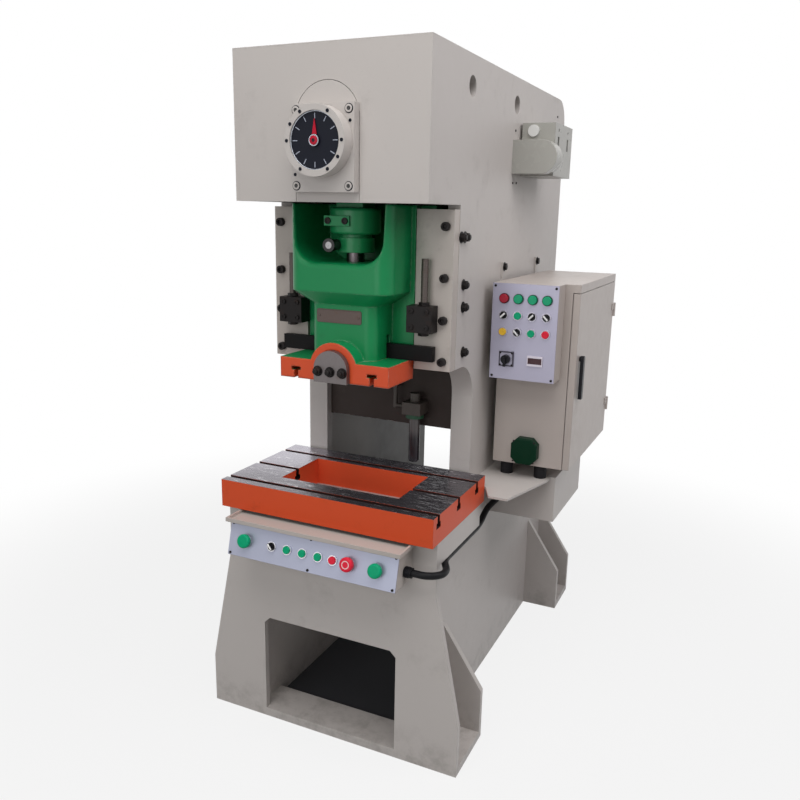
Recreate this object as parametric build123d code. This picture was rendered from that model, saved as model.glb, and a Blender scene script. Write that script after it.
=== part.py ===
from build123d import *
import math
import os

# Open-back crank press with a C-shaped welded frame, millimetres, +Z up, front towards -Y.
# The origin lies on the floor at the centre of the four anchor holes.

# Shared clearances
CLEAR = 0.3
FIT = 0.05
GUIDE_CLEAR = 0.5
OVER = 5.0

# Levels, each measured from the one below it
BED_BOTTOM = 690.0
BED_T = 76.0
BOLSTER_T = 91.0
DIE_SPACE = 350.0
SLIDE_H = 528.0
SLIDE_GAP = 3.0
CRANK_RISE = 163.0
HEAD_SPARE = 30.0

# Crank line
FLYWHEEL_R = 235.0
WHEEL_ROOM = 40.0
THROW = 60.0
JOURNAL_R = 60.0
WEB_R = 110.0
CRANK_WEB_T = 34.0
PIN_R = 45.0
PIN_L = 126.0
LINE_R = 50.0
TAIL_R = 45.0
STUB_R = 10.0
FLYWHEEL_FRONT = 555.0
FLYWHEEL_W = 100.0
RIM_T = 45.0
HUB_R = 80.0
RIM_RECESS = 35.0
TAIL_L = 15.0

# Welded frame
PLATE_T = 40.0
SLIDE_Y = -545.0
HEAD_REACH = 173.0
HEAD_PLATE_T = 20.0
COVER_T = 4.0
COVER_DROP = 558.0
FRAME_REAR = 690.0
REAR_ROUND = 90.0
COLUMN_FRONT = -516.0
THROAT_BACK = -306.0
THROAT_RISE = 33.0
THROAT_R = 120.0
FLANGE_T = 30.0
FLANGE_CLEAR = 4.5
LIFT_HOLE_R = 30.0
LIFT_DROP = 88.0
LIFT_HOLE_YS = (-411.0, 30.0)
WEB_T = 20.0
WEB_RISE = 133.0
DECK_REAR = 560.0
ARCH_HALF = 104.0
ARCH_RISE = 62.0
ARCH_SEAM = 1.5
BEARING_WALL_T = 50.0
MIDDLE_WALL_FRONT = -370.0
REAR_WALL_FRONT = 380.0
VENT_HALF = 150.0
VENT_H = 12.0
VENT_PITCH = 34.0
VENT_DROP = 218.0
VENT_COUNT = 6

# Base, bed and feet
BASE_FRONT = -721.0
BASE_REAR = 706.0
BASE_T = 20.0
BED_INSET = 1.0
BED_LAP = 34.0
FOOT_REACH = 145.0
KNEE_Z = 178.0
SLANT_DROP = 90.0
EAR_TOP = 395.0
EAR_T = 20.0
FRONT_FOOT_L = 231.0
REAR_FOOT_L = 210.0
FOOT_PLATE_T = 25.0
ANCHOR_OUT = 75.0
FRONT_ANCHOR = 115.0
REAR_ANCHOR = 100.0
ANCHOR_R = 14.0
DOORWAY_EDGE = 30.0
DOORWAY_LOW = 29.0
DOORWAY_HIGH = 377.0
DOORWAY_CHAMFER = 20.0
REAR_BEAM = 90.0
SILL_T = 24.0
SILL_DEPTH = 114.0

# Bolster
BOLSTER_HALF = 375.0
BOLSTER_LAP = 39.0
BOLSTER_DEPTH = 446.0
WINDOW_SIDE = 162.0
WINDOW_EDGE = 108.0
WINDOW_L = 231.0
BED_WINDOW_INSET = 18.0
BOLSTER_SLOTS = (40.0, 204.0, 368.0)
SLOT_MOUTH = 18.0
SLOT_HEAD = 32.0
SLOT_HEAD_H = 18.0
SLOT_DEPTH = 40.0

# Motor and belts
MOTOR_RISE = 132.0
MOTOR_R = 105.0
MOTOR_FRONT = 200.0
MOTOR_L = 320.0
BELL_R = 92.0
BELL_L = 24.0
FOOT_BLOCK_HALF = 110.0
FOOT_BLOCK_INSET = 40.0
TERMINAL_HALF = 45.0
TERMINAL_H = 40.0
PULLEY_R = 60.0
MOTOR_SHAFT_R = 19.0
SHAFT_SEAT = 35.0
BELT_T = 11.0
BELT_W = 16.0
BELT_PITCH = 32.0
BELT_COUNT = 3

# Dial and bearing cap
CAP_HALF = 101.5
CAP_DROP = 136.0
CAP_RISE = 102.0
CAP_T = 27.0
BEZEL_R = 96.0
BEZEL_H = 45.0
DIAL_R = 78.0
DIAL_SINK = 7.0
DIAL_T = 6.0
NEEDLE_GAP = 1.5
NEEDLE_T = 2.5
NEEDLE_L = 58.0
NEEDLE_TAIL = 12.0
NEEDLE_HALF = 12.0
NEEDLE_HUB_R = 16.0
CAP_BOLT_INSET = 17.0
CAP_BOLT_R = 9.0
CAP_BOLT_SINK = 9.0
BEZEL_HOLE_R = 4.0
BEZEL_HOLE_DEPTH = 8.0
bezel_hole_turns = (30, 90, 120, 150, 210, 270, 300, 330)

# Slide casting
SLIDE_SIDE = 87.0
FLANGE_H = 63.0
SLIDE_FRONT = -685.0
SLIDE_REAR = -389.0
GUIDE_FRONT = -510.0
BULGE_INSET = 16.0
BULGE_FRONT = -665.0
BULGE_H = 259.0
BULGE_R = 45.0
SHOULDER_H = 40.0
NECK_INSET = 60.0
NECK_FRONT = -632.0
NECK_R = 34.0
POCKET_WALL = 27.0
POCKET_DEPTH = 172.0
POCKET_R = 72.0
POCKET_REAR = -445.0
POCKET_DRAFT = 8.0
POCKET_RIM_R = 16.0
BOSS_R = 82.0
BOSS_RISE = 38.5
SLIDE_SLOT_INSET = 56.0
SLIDE_SLOT_MOUTH = 15.0
SLIDE_SLOT_HEAD = 33.0
SLIDE_SLOT_HEAD_H = 11.0
SLIDE_SLOT_DEPTH = 36.0
CLAMP_R = 57.0
CLAMP_RISE = 41.0
CLAMP_STAND = 19.0
CLAMP_SHOULDER = -610.0
TONGUE_HALF = 45.0
SHANK_R = 25.0
SHANK_DEPTH = 55.0
WING_REACH = 49.5
WING_GAP = 5.0
GUIDE_LAP = 20.0

# Gibs, stop blocks and knock-out bar
GIB_SIDE_GAP = 4.0
GIB_EDGE = 1.5
GIB_GAP = 13.0
GIB_LIP = 40.0
GIB_BACK_T = 40.0
GIB_CHANNEL = 64.0
GIB_BOLT_INSET = 25.5
GIB_BOLT_DROPS = (49.0, 201.0, 328.0, 455.0)
GIB_BOLT_R = 13.0
GIB_BOLT_H = 16.0
ADJUSTER_R = 9.0
ADJUSTER_L = 26.0
ADJUSTER_NUT_R = 14.0
ADJUSTER_NUT_H = 12.0
ADJUSTERS = ((-462.0, 81.0), (-432.0, 81.0), (-431.0, 225.0), (-428.0, 294.0), (-415.0, 437.0))
STOP_LAP = 6.0
STOP_W = 82.0
STOP_RISE = 90.0
STOP_H = 81.0
STOP_DEPTH = 50.0
STOP_SCREW_X = 47.0
STOP_SCREW_R = 11.0
STOP_SCREW_L = 140.0
STOP_NUT_R = 17.0
STOP_NUT_H = 10.0
STOP_BOLT_R = 8.0
STOP_BOLT_H = 5.0
STOP_BOLT_INSET = 16.0
BAR_REACH = 78.0
BAR_FRONT = -545.0
BAR_T = 22.0
BAR_H = 46.0
BAR_TRAVEL = 25.0

# Connecting rod
ROD_EYE_HALF = 131.0
ROD_EYE_RISE = 85.0
ROD_EYE_R = 78.0
ROD_T = 120.0
LINK_PLAY = 13.4
ROD_SHANK_HALF = 45.0
ROD_SHANK_T = 80.0
BARREL_R = 78.0
BARREL_H = 79.0
BARREL_ROUND = 10.0
COLLAR_R = 50.0
COLLAR_H = 10.0
HOUSING_R = 58.0
HOUSING_RISE = 29.0
HOUSING_H = 44.0
PAD_LEFT = -64.0
PAD_RIGHT = 22.0
PAD_H = 30.0
PAD_STAND = 5.0
SCREW_R = 28.0
WORM_X = -38.0
WORM_R = 17.0
WORM_REACH = 87.0
WORM_KNOB_R = 20.0
WORM_KNOB_L = 14.0

# Operator console
CONSOLE_HALF = 295.0
CONSOLE_DROP = 16.0
CONSOLE_H = 107.0
CONSOLE_DEPTH = 91.0
CONSOLE_LEAN = 28.0
CONSOLE_WALL = 3.0
TRAY_LAP = 11.0
TRAY_DEPTH = 113.0
TRAY_H = 13.0
TRAY_RIM = 7.0
TRAY_SINK = 9.0
PLATE_FACE_T = 3.0

# Buttons, lamps and selectors
BUTTON_R = 12.0
BUTTON_GAP = 0.5
BUTTON_PROUD = 10.0
BUTTON_INSIDE = 12.0
BUTTON_ROUND = 1.5
BEZEL_RING_R = 15.7
BEZEL_RING_H = 5.0
PALM_R = 22.0
PALM_LOW = 11.0
PALM_HIGH = 25.0
PALM_ROUND = 6.0
SELECTOR_H = 7.0
SELECTOR_BAR_H = 9.0
SELECTOR_BAR_W = 7.0
LAMP_R = 14.0
LAMP_RING_R = 17.0
LAMP_RING_H = 6.0
LAMP_H = 12.0

# Control cabinet
CABINET_GAP = 30.0
CABINET_W = 247.0
CABINET_FRONT = -145.0
CABINET_DEPTH = 597.0
CABINET_H = 635.0
CABINET_WALL = 2.5
DOOR_GAP = 2.0
DOOR_T = 23.0
DOOR_SKIN = 2.5
RIM_H = 28.0
HINGE_H = 26.0
HINGE_R = 7.5
HINGE_PIN_R = 4.0
HINGE_T = 3.0
HINGE_LEAF = 32.0
HANDLE_INSET = 48.0
HANDLE_W = 22.0
HANDLE_L = 148.0
HANDLE_T = 12.0
HANDLE_PIVOT_R = 9.0
HANDLE_STAND = 5.0
PANEL_W = 221.0
PANEL_H = 318.0
PANEL_DEPTH = 85.0
PANEL_WALL = 3.0
ROTARY_HALF = 25.0
ROTARY_T = 6.0
ROTARY_R = 15.0
ROTARY_STEM_R = 6.0
ROTARY_H = 14.0
ROTARY_BAR_H = 9.0
ROTARY_BAR_W = 8.0
COUNTER_HALF = 26.0
COUNTER_RISE = 17.0
COUNTER_T = 5.0
COUNTER_SINK = 3.0
COUNTER_INSET = 7.0
SOCKET_HALF = 46.0
SOCKET_RISE = 56.0
SOCKET_DEPTH = 34.0
SOCKET_ROUND = 4.0
SUPPORT_RISE = 49.0
SUPPORT_H = 165.0
SUPPORT_W = 250.0
SUPPORT_INSET = 40.0
SUPPORT_DEPTH = 400.0
SUPPORT_WALL = 3.0
BRACKET_T = 8.0
BRACKET_GAP = 3.0
BRACKET_REACH = 283.0
BRACKET_NOSE_GAP = 35.0
BRACKET_NOSE_W = 65.0
BRACKET_INSET = 19.0
BRACKET_TIP = 33.0
MOUNT_H = 45.0
MOUNT_R = 22.0
HANGER_W = 28.0
HANGER_T = 8.0
HANGER_RISE = 57.0
HANGER_LAP = 25.0
HANGER_BOLT_DROP = 16.0
HANGER_BOLT_R = 11.0

# Rotary cam switch and chain guard
GUARD_R = 56.0
GUARD_REACH = 100.0
GUARD_RISE = 5.0
GUARD_FRONT = 2.0
GUARD_DEPTH = 75.0
GUARD_WALL = 2.5
CAM_GAP = 8.0
CAM_BOX_W = 118.0
CAM_BOX_L = 241.0
CAM_BOX_DROP = 55.0
CAM_BOX_H = 178.0
CAM_FOOT_INSET = 28.0
CAM_DISC_R = 20.0
CAM_DISC_H = 6.0
CAM_DISC_DROP = 27.0
CAM_SLOT_W = 20.0
CAM_SLOT_SINK = 3.0
CAM_HOLE_R = 6.0

# Air filter and hose
FILTER_X = 112.0
FILTER_STAND = 40.0
FILTER_HEAD_HALF = 34.0
FILTER_RISE = 50.0
FILTER_HEAD_H = 43.0
FILTER_BAND_R = 31.0
FILTER_BAND_H = 14.0
BOWL_R = 19.0
BOWL_L = 158.0
BOWL_ROUND = 9.0
FILTER_KNOB_R = 17.0
FILTER_KNOB_H = 30.0
PIPE_R = 8.0
PIPE_RUN = 40.0
PIPE_RISE = 70.0
HOSE_R = 11.0
GLAND_R = 16.0
GLAND_L = 24.0
# Hose corners: out from the side plate, back from the base front, down from the bed
HOSE_CORNERS = (
    (51.0, -54.0, 5.0),
    (85.0, -21.0, 8.0),
    (82.0, 25.0, 11.5),
    (48.0, 85.0, 11.5),
    (48.0, 410.0, 11.5),
    (38.0, 505.0, -10.0),
)
HOSE_END_OUT = 38.0
HOSE_END_RISE = 10.0

# Shares of the sizes that they follow
angle_share = 0.45
palm_share = 0.78
selector_share = -0.458
green_shares = (-0.268, -0.081, 0.105)
red_share = 0.278
stop_share = 0.464
panel_x_shares = (0.186, 0.403, 0.62, 0.837)
panel_z_shares = (0.846, 0.673, 0.5)
rotary_x_share = 0.262
rotary_z_share = 0.217
counter_x_share = 0.701
socket_x_share = 0.482
hinge_shares = (0.181, 0.78)
handle_share = 0.605
mount_x_shares = (0.3, 0.788)
mount_y_shares = (0.045, 0.687)
hanger_shares = (0.156, 0.854)
disc_share = 0.35
cam_y_shares = (0.2, 0.73)
cam_slot_low_share = 0.52
cam_slot_high_share = 0.75
cam_hole_share = 0.87

ALONG_Y = Plane(origin=(0, 0, 0), x_dir=(1, 0, 0), z_dir=(0, -1, 0))

# Heights
bed_top = BED_BOTTOM + BED_T
bolster_top = bed_top + BOLSTER_T
slide_bottom = bolster_top + DIE_SPACE
slide_top = slide_bottom + SLIDE_H
head_bottom = slide_top + SLIDE_GAP
crank_z = head_bottom + CRANK_RISE
head_top = crank_z + FLYWHEEL_R + HEAD_SPARE
cover_in = head_top - COVER_T
throat_top = slide_bottom + THROAT_RISE
web_bottom = bolster_top + WEB_RISE
deck_top = web_bottom + WEB_T
arch_z = crank_z + ARCH_RISE
motor_z = deck_top + MOTOR_RISE
pin_z = crank_z + THROW
flange_top = slide_bottom + FLANGE_H
bulge_low = slide_top - BULGE_H
neck_high = bulge_low - SHOULDER_H
pocket_low = slide_top - POCKET_DEPTH
boss_z = slide_bottom + BOSS_RISE
clamp_z = slide_bottom + CLAMP_RISE
bar_slot_top = flange_top + CLEAR + BAR_H + BAR_TRAVEL + GUIDE_CLEAR
gib_top = head_bottom - GIB_GAP
stop_low = flange_top + STOP_RISE
stop_high = stop_low + STOP_H
housing_low = pocket_low + HOUSING_RISE
housing_high = housing_low + HOUSING_H
barrel_low = housing_high + COLLAR_H
barrel_high = barrel_low + BARREL_H
console_top = bed_top - CONSOLE_DROP
console_low = console_top - CONSOLE_H
support_top = bed_top + SUPPORT_RISE
support_low = support_top - SUPPORT_H
cabinet_low = support_top + MOUNT_H
cabinet_high = cabinet_low + CABINET_H
panel_low = cabinet_high - PANEL_H
rotary_z = panel_low + PANEL_H * rotary_z_share
handle_z = cabinet_low + CABINET_H * handle_share
hinge_zs = [cabinet_low + CABINET_H * share for share in hinge_shares]
hanger_top = cabinet_high + HANGER_RISE
hanger_low = cabinet_high - HANGER_LAP
guard_z = crank_z + GUARD_RISE
cam_low = crank_z - CAM_BOX_DROP
cam_high = cam_low + CAM_BOX_H
lift_z = head_top - LIFT_DROP
cover_bottom = head_bottom - COVER_DROP
vent_low = head_bottom - VENT_DROP
slant_top = BED_BOTTOM - SLANT_DROP
cap_low = crank_z - CAP_DROP
cap_high = crank_z + CAP_RISE
wing_low = flange_top + WING_GAP
stop_screw_top = stop_high + STOP_SCREW_L
socket_z = cabinet_low + SOCKET_RISE
hanger_bolt_z = hanger_top - HANGER_BOLT_DROP
disc_z = cam_high - CAM_DISC_DROP
filter_low = web_bottom + FILTER_RISE
filter_high = filter_low + FILTER_HEAD_H

# Widths
plate_in = FLYWHEEL_R + WHEEL_ROOM
plate_out = plate_in + PLATE_T
foot_half = plate_out + FOOT_REACH
anchor_x = plate_out + ANCHOR_OUT
bed_half = BOLSTER_HALF - BED_INSET
doorway_half = plate_in - DOORWAY_EDGE
window_half = BOLSTER_HALF - WINDOW_SIDE
slide_half = plate_in - SLIDE_SIDE
wing_half = slide_half + WING_REACH
flange_in = wing_half + FLANGE_CLEAR
bulge_half = slide_half - BULGE_INSET
neck_half = bulge_half - NECK_INSET
pocket_half = bulge_half - POCKET_WALL
slide_slot_x = slide_half - SLIDE_SLOT_INSET
gib_in = slide_half + GIB_SIDE_GAP
gib_out = plate_out - GIB_EDGE
stop_in = gib_in - STOP_LAP
stop_out = stop_in + STOP_W
stop_screw_x = stop_in + STOP_SCREW_X
gib_bolt_x = gib_out - GIB_BOLT_INSET
bar_half = slide_half + BAR_REACH
cabinet_x = plate_out + CABINET_GAP
cabinet_out = cabinet_x + CABINET_W
door_in = cabinet_out + DOOR_GAP
door_out = door_in + DOOR_T
panel_out = cabinet_x + PANEL_W
rotary_x = cabinet_x + PANEL_W * rotary_x_share
counter_x = cabinet_x + PANEL_W * counter_x_share
socket_x = cabinet_x + CABINET_W * socket_x_share
support_out = plate_out + SUPPORT_W
guard_x = plate_out + GUARD_REACH
cam_in = plate_out + CAM_GAP
cam_out = cam_in + CAM_BOX_W
disc_x = cam_in + CAM_BOX_W * disc_share
tray_half = CONSOLE_HALF + TRAY_LAP

# Depths
head_front = SLIDE_Y - HEAD_REACH
head_inside = head_front + HEAD_PLATE_T
rear_in = FRAME_REAR - COVER_T
gib_lip_back = COLUMN_FRONT + GIB_LIP
gib_back_front = gib_lip_back + GIB_CHANNEL
web_front = THROAT_BACK + FLANGE_T
base_back = BASE_FRONT + BASE_T
bolster_front = BASE_FRONT - BOLSTER_LAP
bolster_rear = bolster_front + BOLSTER_DEPTH
window_front = bolster_front + WINDOW_EDGE
window_rear = window_front + WINDOW_L
bed_rear = bolster_rear - BED_LAP
front_ear_back = BASE_FRONT + FRONT_FOOT_L
rear_ear_front = BASE_REAR - REAR_FOOT_L
cap_front = head_front - CAP_T
bezel_front = cap_front - BEZEL_H
dial_front = bezel_front + DIAL_SINK
clamp_front = SLIDE_FRONT - CLAMP_STAND
console_top_front = BASE_FRONT - CONSOLE_DEPTH
console_low_front = console_top_front - CONSOLE_LEAN
tray_front = BASE_FRONT - TRAY_DEPTH
cabinet_rear = CABINET_FRONT + CABINET_DEPTH
hinge_y = cabinet_rear + HINGE_R
handle_y = CABINET_FRONT + HANDLE_INSET
panel_front = CABINET_FRONT - PANEL_DEPTH
support_front = CABINET_FRONT + SUPPORT_INSET
support_rear = support_front + SUPPORT_DEPTH
cam_front = GUARD_FRONT + GUARD_DEPTH
cam_rear = cam_front + CAM_BOX_L
stop_screw_y = COLUMN_FRONT - STOP_DEPTH / 2
worm_front = SLIDE_Y - WORM_REACH
tail_end = FLYWHEEL_FRONT + FLYWHEEL_W + TAIL_L
filter_y = web_front - FILTER_STAND
wall_bores = {head_inside: JOURNAL_R, MIDDLE_WALL_FRONT: JOURNAL_R, REAR_WALL_FRONT: LINE_R}


def block(x0, x1, y0, y1, z0, z1):
    """A block between two corners."""
    middle = Pos((x0 + x1) / 2, (y0 + y1) / 2, (z0 + z1) / 2)
    return middle * Box(x1 - x0, y1 - y0, z1 - z0)


def both_sides(piece):
    """The right-hand piece and its mirror image on the left."""
    return [piece, mirror(piece, about=Plane.YZ)]


def rod_x(y, z, radius, x0, x1):
    """A round bar along X."""
    return extrude(Plane(origin=(x0, y, z), z_dir=(1, 0, 0)) * Circle(radius), x1 - x0)


def rod_y(x, z, radius, y0, y1):
    """A round bar along Y."""
    return extrude(Plane(origin=(x, y0, z), z_dir=(0, 1, 0)) * Circle(radius), y1 - y0)


def rod_z(x, y, radius, z0, z1):
    """A round bar along Z."""
    return extrude(Plane(origin=(x, y, z0), z_dir=(0, 0, 1)) * Circle(radius), z1 - z0)


def outline(points, rounds=None):
    """A flat outline through the points, with some corners rounded."""
    face = make_face(Polyline(*points, close=True))
    for corner, radius in (rounds or {}).items():
        spot = Vector(*points[corner])
        vertex = min(face.vertices(), key=lambda v: (Vector(v.X, v.Y) - spot).length)
        face = fillet(vertex, radius)
    return face


def slab_x(face, x0, x1):
    """An outline in (y, z) made thick along X."""
    return extrude(Plane.YZ.offset(x0) * face, x1 - x0)


def slab_y(face, y0, y1):
    """An outline in (x, z) made thick along Y."""
    return extrude(ALONG_Y.offset(-y1) * face, y1 - y0)


def slab_z(face, z0, z1):
    """An outline in (x, y) made thick along Z."""
    return extrude(Plane.XY.offset(z0) * face, z1 - z0)


def hex_bar(plane, radius, height):
    """A hexagon bar standing on a plane."""
    return extrude(plane * RegularPolygon(radius, 6), height)


def save(name, *pieces):
    """Write one node, a single solid or a group of separate solids."""
    solids = [solid for piece in pieces for solid in piece.solids()]
    shape = solids[0] if len(solids) == 1 else Compound(children=solids)
    export_step(shape, f"parts/{name}.step")


# Welded frame
def throat_area(grow):
    """The open throat seen from the side, grown by the flange thickness."""
    back = THROAT_BACK + grow
    top = throat_top + grow
    points = [(gib_lip_back, BED_BOTTOM), (back, BED_BOTTOM), (back, top), (gib_lip_back, top)]
    return outline(points, {2: THROAT_R + grow})


def side_plate():
    """Right side plate of the C-frame with its turned-in throat edge and lifting holes."""
    points = [
        (base_back, 0), (rear_in, 0), (rear_in, cover_in), (head_inside, cover_in),
        (head_inside, head_bottom), (gib_lip_back, head_bottom), (gib_lip_back, throat_top),
        (THROAT_BACK, throat_top), (THROAT_BACK, BED_BOTTOM), (base_back, BED_BOTTOM),
    ]
    plate = slab_x(outline(points, {2: REAR_ROUND - COVER_T, 7: THROAT_R}), plate_in, plate_out)
    edge = slab_x(throat_area(FLANGE_T) - throat_area(0), flange_in, plate_in)
    plate += edge
    for y in LIFT_HOLE_YS:
        plate -= rod_x(y, lift_z, LIFT_HOLE_R, plate_in - OVER, plate_out + OVER)
    return plate


def arch_outline(half, low):
    """The arched panel of the head front, straight below its half circle."""
    legs = [(-half, low), (half, low), (half, arch_z), (-half, arch_z)]
    arch = Pos(0, arch_z) * Circle(half)
    return arch + outline(legs)


def head_front_plate():
    """Front sheet of the head with the arched cut-out for the bearing panel."""
    sheet = block(-plate_out, plate_out, head_front, head_inside, head_bottom, cover_in)
    return sheet - slab_y(arch_outline(ARCH_HALF, head_bottom - OVER), head_front - OVER, head_inside + OVER)


def top_cover():
    """Folded sheet over the head, bent down to close the rear, with vent slots."""
    outer = [(head_front, cover_in), (head_front, head_top), (FRAME_REAR, head_top),
             (FRAME_REAR, cover_bottom), (rear_in, cover_bottom), (rear_in, cover_in)]
    sheet = slab_x(outline(outer, {2: REAR_ROUND, 5: REAR_ROUND - COVER_T}), -plate_out, plate_out)
    for row in range(VENT_COUNT):
        low = vent_low + row * VENT_PITCH
        sheet -= block(-VENT_HALF, VENT_HALF, rear_in - OVER, FRAME_REAR + OVER, low, low + VENT_H)
    return sheet


def bearing_walls():
    """Three cross walls of the head that carry the crankshaft."""
    walls = []
    for front, radius in wall_bores.items():
        back = front + BEARING_WALL_T
        wall = block(-plate_in, plate_in, front, back, head_bottom, cover_in)
        walls.append(wall - rod_y(0, crank_z, radius + FIT, front - OVER, back + OVER))
    return walls


def column_web():
    """Cross web behind the slide, with the deck that carries the motor."""
    web = block(-plate_in, plate_in, web_front, web_front + WEB_T, web_bottom, head_bottom)
    return web + block(-plate_in, plate_in, web_front, DECK_REAR, web_bottom, deck_top)


def base_outline(shoulder_x, shoulder_z, top):
    """Outline of a base plate: feet at the bottom, slanting in to the shoulder."""
    right = [(foot_half, 0), (foot_half, KNEE_Z), (shoulder_x, shoulder_z), (shoulder_x, top)]
    left = [(-x, z) for x, z in reversed(right)]
    return outline(right + left)


def doorway(y0, y1):
    """Cutter for the base opening with its chamfered top corners."""
    side = doorway_half
    slope = DOORWAY_CHAMFER
    points = [(-side, DOORWAY_LOW), (side, DOORWAY_LOW), (side, DOORWAY_HIGH - slope),
              (side - slope, DOORWAY_HIGH), (slope - side, DOORWAY_HIGH), (-side, DOORWAY_HIGH - slope)]
    return slab_y(outline(points), y0, y1)


def base_front_plate():
    """Front plate of the base with the opening and the sill welded behind it."""
    plate = slab_y(base_outline(bed_half, slant_top, BED_BOTTOM), BASE_FRONT, base_back)
    plate -= doorway(BASE_FRONT - OVER, base_back + OVER)
    return plate + block(-plate_in, plate_in, base_back, base_back + SILL_DEPTH,
                         DOORWAY_LOW - SILL_T, DOORWAY_LOW)


def base_rear_plate():
    """Rear plate of the base with the same opening; above its beam the back is open."""
    front = BASE_REAR - BASE_T
    plate = slab_y(base_outline(plate_out, EAR_TOP, DOORWAY_HIGH + REAR_BEAM), front, BASE_REAR)
    return plate - doorway(front - OVER, BASE_REAR + OVER)


def bed_block():
    """Bed under the bolster, open in the middle for the scrap."""
    bed = block(-bed_half, bed_half, BASE_FRONT, bed_rear, BED_BOTTOM, bed_top)
    half = window_half - BED_WINDOW_INSET
    front = window_front + BED_WINDOW_INSET
    rear = window_rear - BED_WINDOW_INSET
    return bed - block(-half, half, front, rear, BED_BOTTOM - OVER, bed_top + OVER)


def foot(plate_front, plate_rear, ear_front, anchor_y):
    """One right-hand foot: a floor plate with its anchor hole and an upright ear."""
    plate = block(plate_out, foot_half, plate_front, plate_rear, 0, FOOT_PLATE_T)
    plate -= rod_z(anchor_x, anchor_y, ANCHOR_R, -OVER, FOOT_PLATE_T + OVER)
    points = [(plate_out, 0), (foot_half, 0), (foot_half, KNEE_Z), (plate_out, EAR_TOP)]
    return plate + slab_y(outline(points), ear_front, ear_front + EAR_T)


def feet():
    """Four feet in front and rear pairs."""
    front_ear = front_ear_back - EAR_T
    front = foot(base_back, front_ear, front_ear, BASE_FRONT + FRONT_ANCHOR)
    rear = foot(rear_ear_front + EAR_T, BASE_REAR - BASE_T, rear_ear_front, BASE_REAR - REAR_ANCHOR)
    return both_sides(front) + both_sides(rear)


def bolster():
    """Bolster plate with its window and three T-slots along X."""
    plate = block(-BOLSTER_HALF, BOLSTER_HALF, bolster_front, bolster_rear, bed_top, bolster_top)
    plate -= block(-window_half, window_half, window_front, window_rear, bed_top - OVER, bolster_top + OVER)
    end = BOLSTER_HALF + OVER
    floor = bolster_top - SLOT_DEPTH
    for back in BOLSTER_SLOTS:
        y = bolster_front + back
        mouth = SLOT_MOUTH / 2
        head = SLOT_HEAD / 2
        plate -= block(-end, end, y - mouth, y + mouth, floor, bolster_top + OVER)
        plate -= block(-end, end, y - head, y + head, floor, floor + SLOT_HEAD_H)
    return plate


# Crank line
def crankshaft():
    """Crankshaft at top dead centre, from the dial stub to the flywheel seat."""
    pin_front = SLIDE_Y - PIN_L / 2
    pin_rear = SLIDE_Y + PIN_L / 2
    web_back = pin_rear + CRANK_WEB_T
    shaft = rod_y(0, crank_z, STUB_R, dial_front - NEEDLE_GAP, cap_front)
    shaft += rod_y(0, crank_z, JOURNAL_R, head_inside, pin_front - CRANK_WEB_T)
    shaft += rod_y(0, crank_z, STUB_R, cap_front, head_inside)
    shaft += rod_y(0, crank_z, WEB_R, pin_front - CRANK_WEB_T, pin_front)
    shaft += rod_y(0, pin_z, PIN_R, pin_front, pin_rear)
    shaft += rod_y(0, crank_z, WEB_R, pin_rear, web_back)
    shaft += rod_y(0, crank_z, JOURNAL_R, web_back, MIDDLE_WALL_FRONT + BEARING_WALL_T)
    shaft += rod_y(0, crank_z, LINE_R, MIDDLE_WALL_FRONT + BEARING_WALL_T, REAR_WALL_FRONT + BEARING_WALL_T)
    return shaft + rod_y(0, crank_z, TAIL_R, REAR_WALL_FRONT + BEARING_WALL_T, tail_end)


def flywheel():
    """Flywheel with a heavy rim, a web and a hub that runs on the crank tail."""
    back = FLYWHEEL_FRONT + FLYWHEEL_W
    wheel = rod_y(0, crank_z, FLYWHEEL_R, FLYWHEEL_FRONT, back)
    for low, high in ((FLYWHEEL_FRONT - OVER, FLYWHEEL_FRONT + RIM_RECESS),
                      (back - RIM_RECESS, back + OVER)):
        ring = rod_y(0, crank_z, FLYWHEEL_R - RIM_T, low, high)
        wheel -= ring - rod_y(0, crank_z, HUB_R, low - OVER, high + OVER)
    return wheel - rod_y(0, crank_z, TAIL_R + FIT, FLYWHEEL_FRONT - OVER, back + OVER)


def motor():
    """Foot-mounted motor on the deck, shaft towards the rear."""
    back = MOTOR_FRONT + MOTOR_L
    body = rod_y(0, motor_z, MOTOR_R, MOTOR_FRONT, back)
    body += rod_y(0, motor_z, BELL_R, back, back + BELL_L)
    body += rod_y(0, motor_z, BELL_R, MOTOR_FRONT - BELL_L, MOTOR_FRONT)
    body += block(-FOOT_BLOCK_HALF, FOOT_BLOCK_HALF, MOTOR_FRONT + FOOT_BLOCK_INSET,
                  back - FOOT_BLOCK_INSET, deck_top, motor_z - MOTOR_R / 2)
    body += block(-TERMINAL_HALF, TERMINAL_HALF, MOTOR_FRONT + FOOT_BLOCK_INSET,
                  MOTOR_FRONT + FOOT_BLOCK_INSET + TERMINAL_HALF * 2, motor_z,
                  motor_z + MOTOR_R + TERMINAL_H)
    return body - rod_y(0, motor_z, MOTOR_SHAFT_R + FIT, back - SHAFT_SEAT, back + BELL_L + OVER)


def motor_pulley():
    """Belt pulley on its motor shaft."""
    back = MOTOR_FRONT + MOTOR_L
    pulley = rod_y(0, motor_z, PULLEY_R, FLYWHEEL_FRONT, FLYWHEEL_FRONT + FLYWHEEL_W)
    return pulley + rod_y(0, motor_z, MOTOR_SHAFT_R, back - SHAFT_SEAT + CLEAR, FLYWHEEL_FRONT)


def belt_loop(grow):
    """The area inside a belt, round the pulley and the flywheel."""
    wheel = Pos(0, crank_z) * Circle(FLYWHEEL_R + grow)
    pulley = Pos(0, motor_z) * Circle(PULLEY_R + grow)
    return make_hull(wheel.edges() + pulley.edges())


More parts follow.
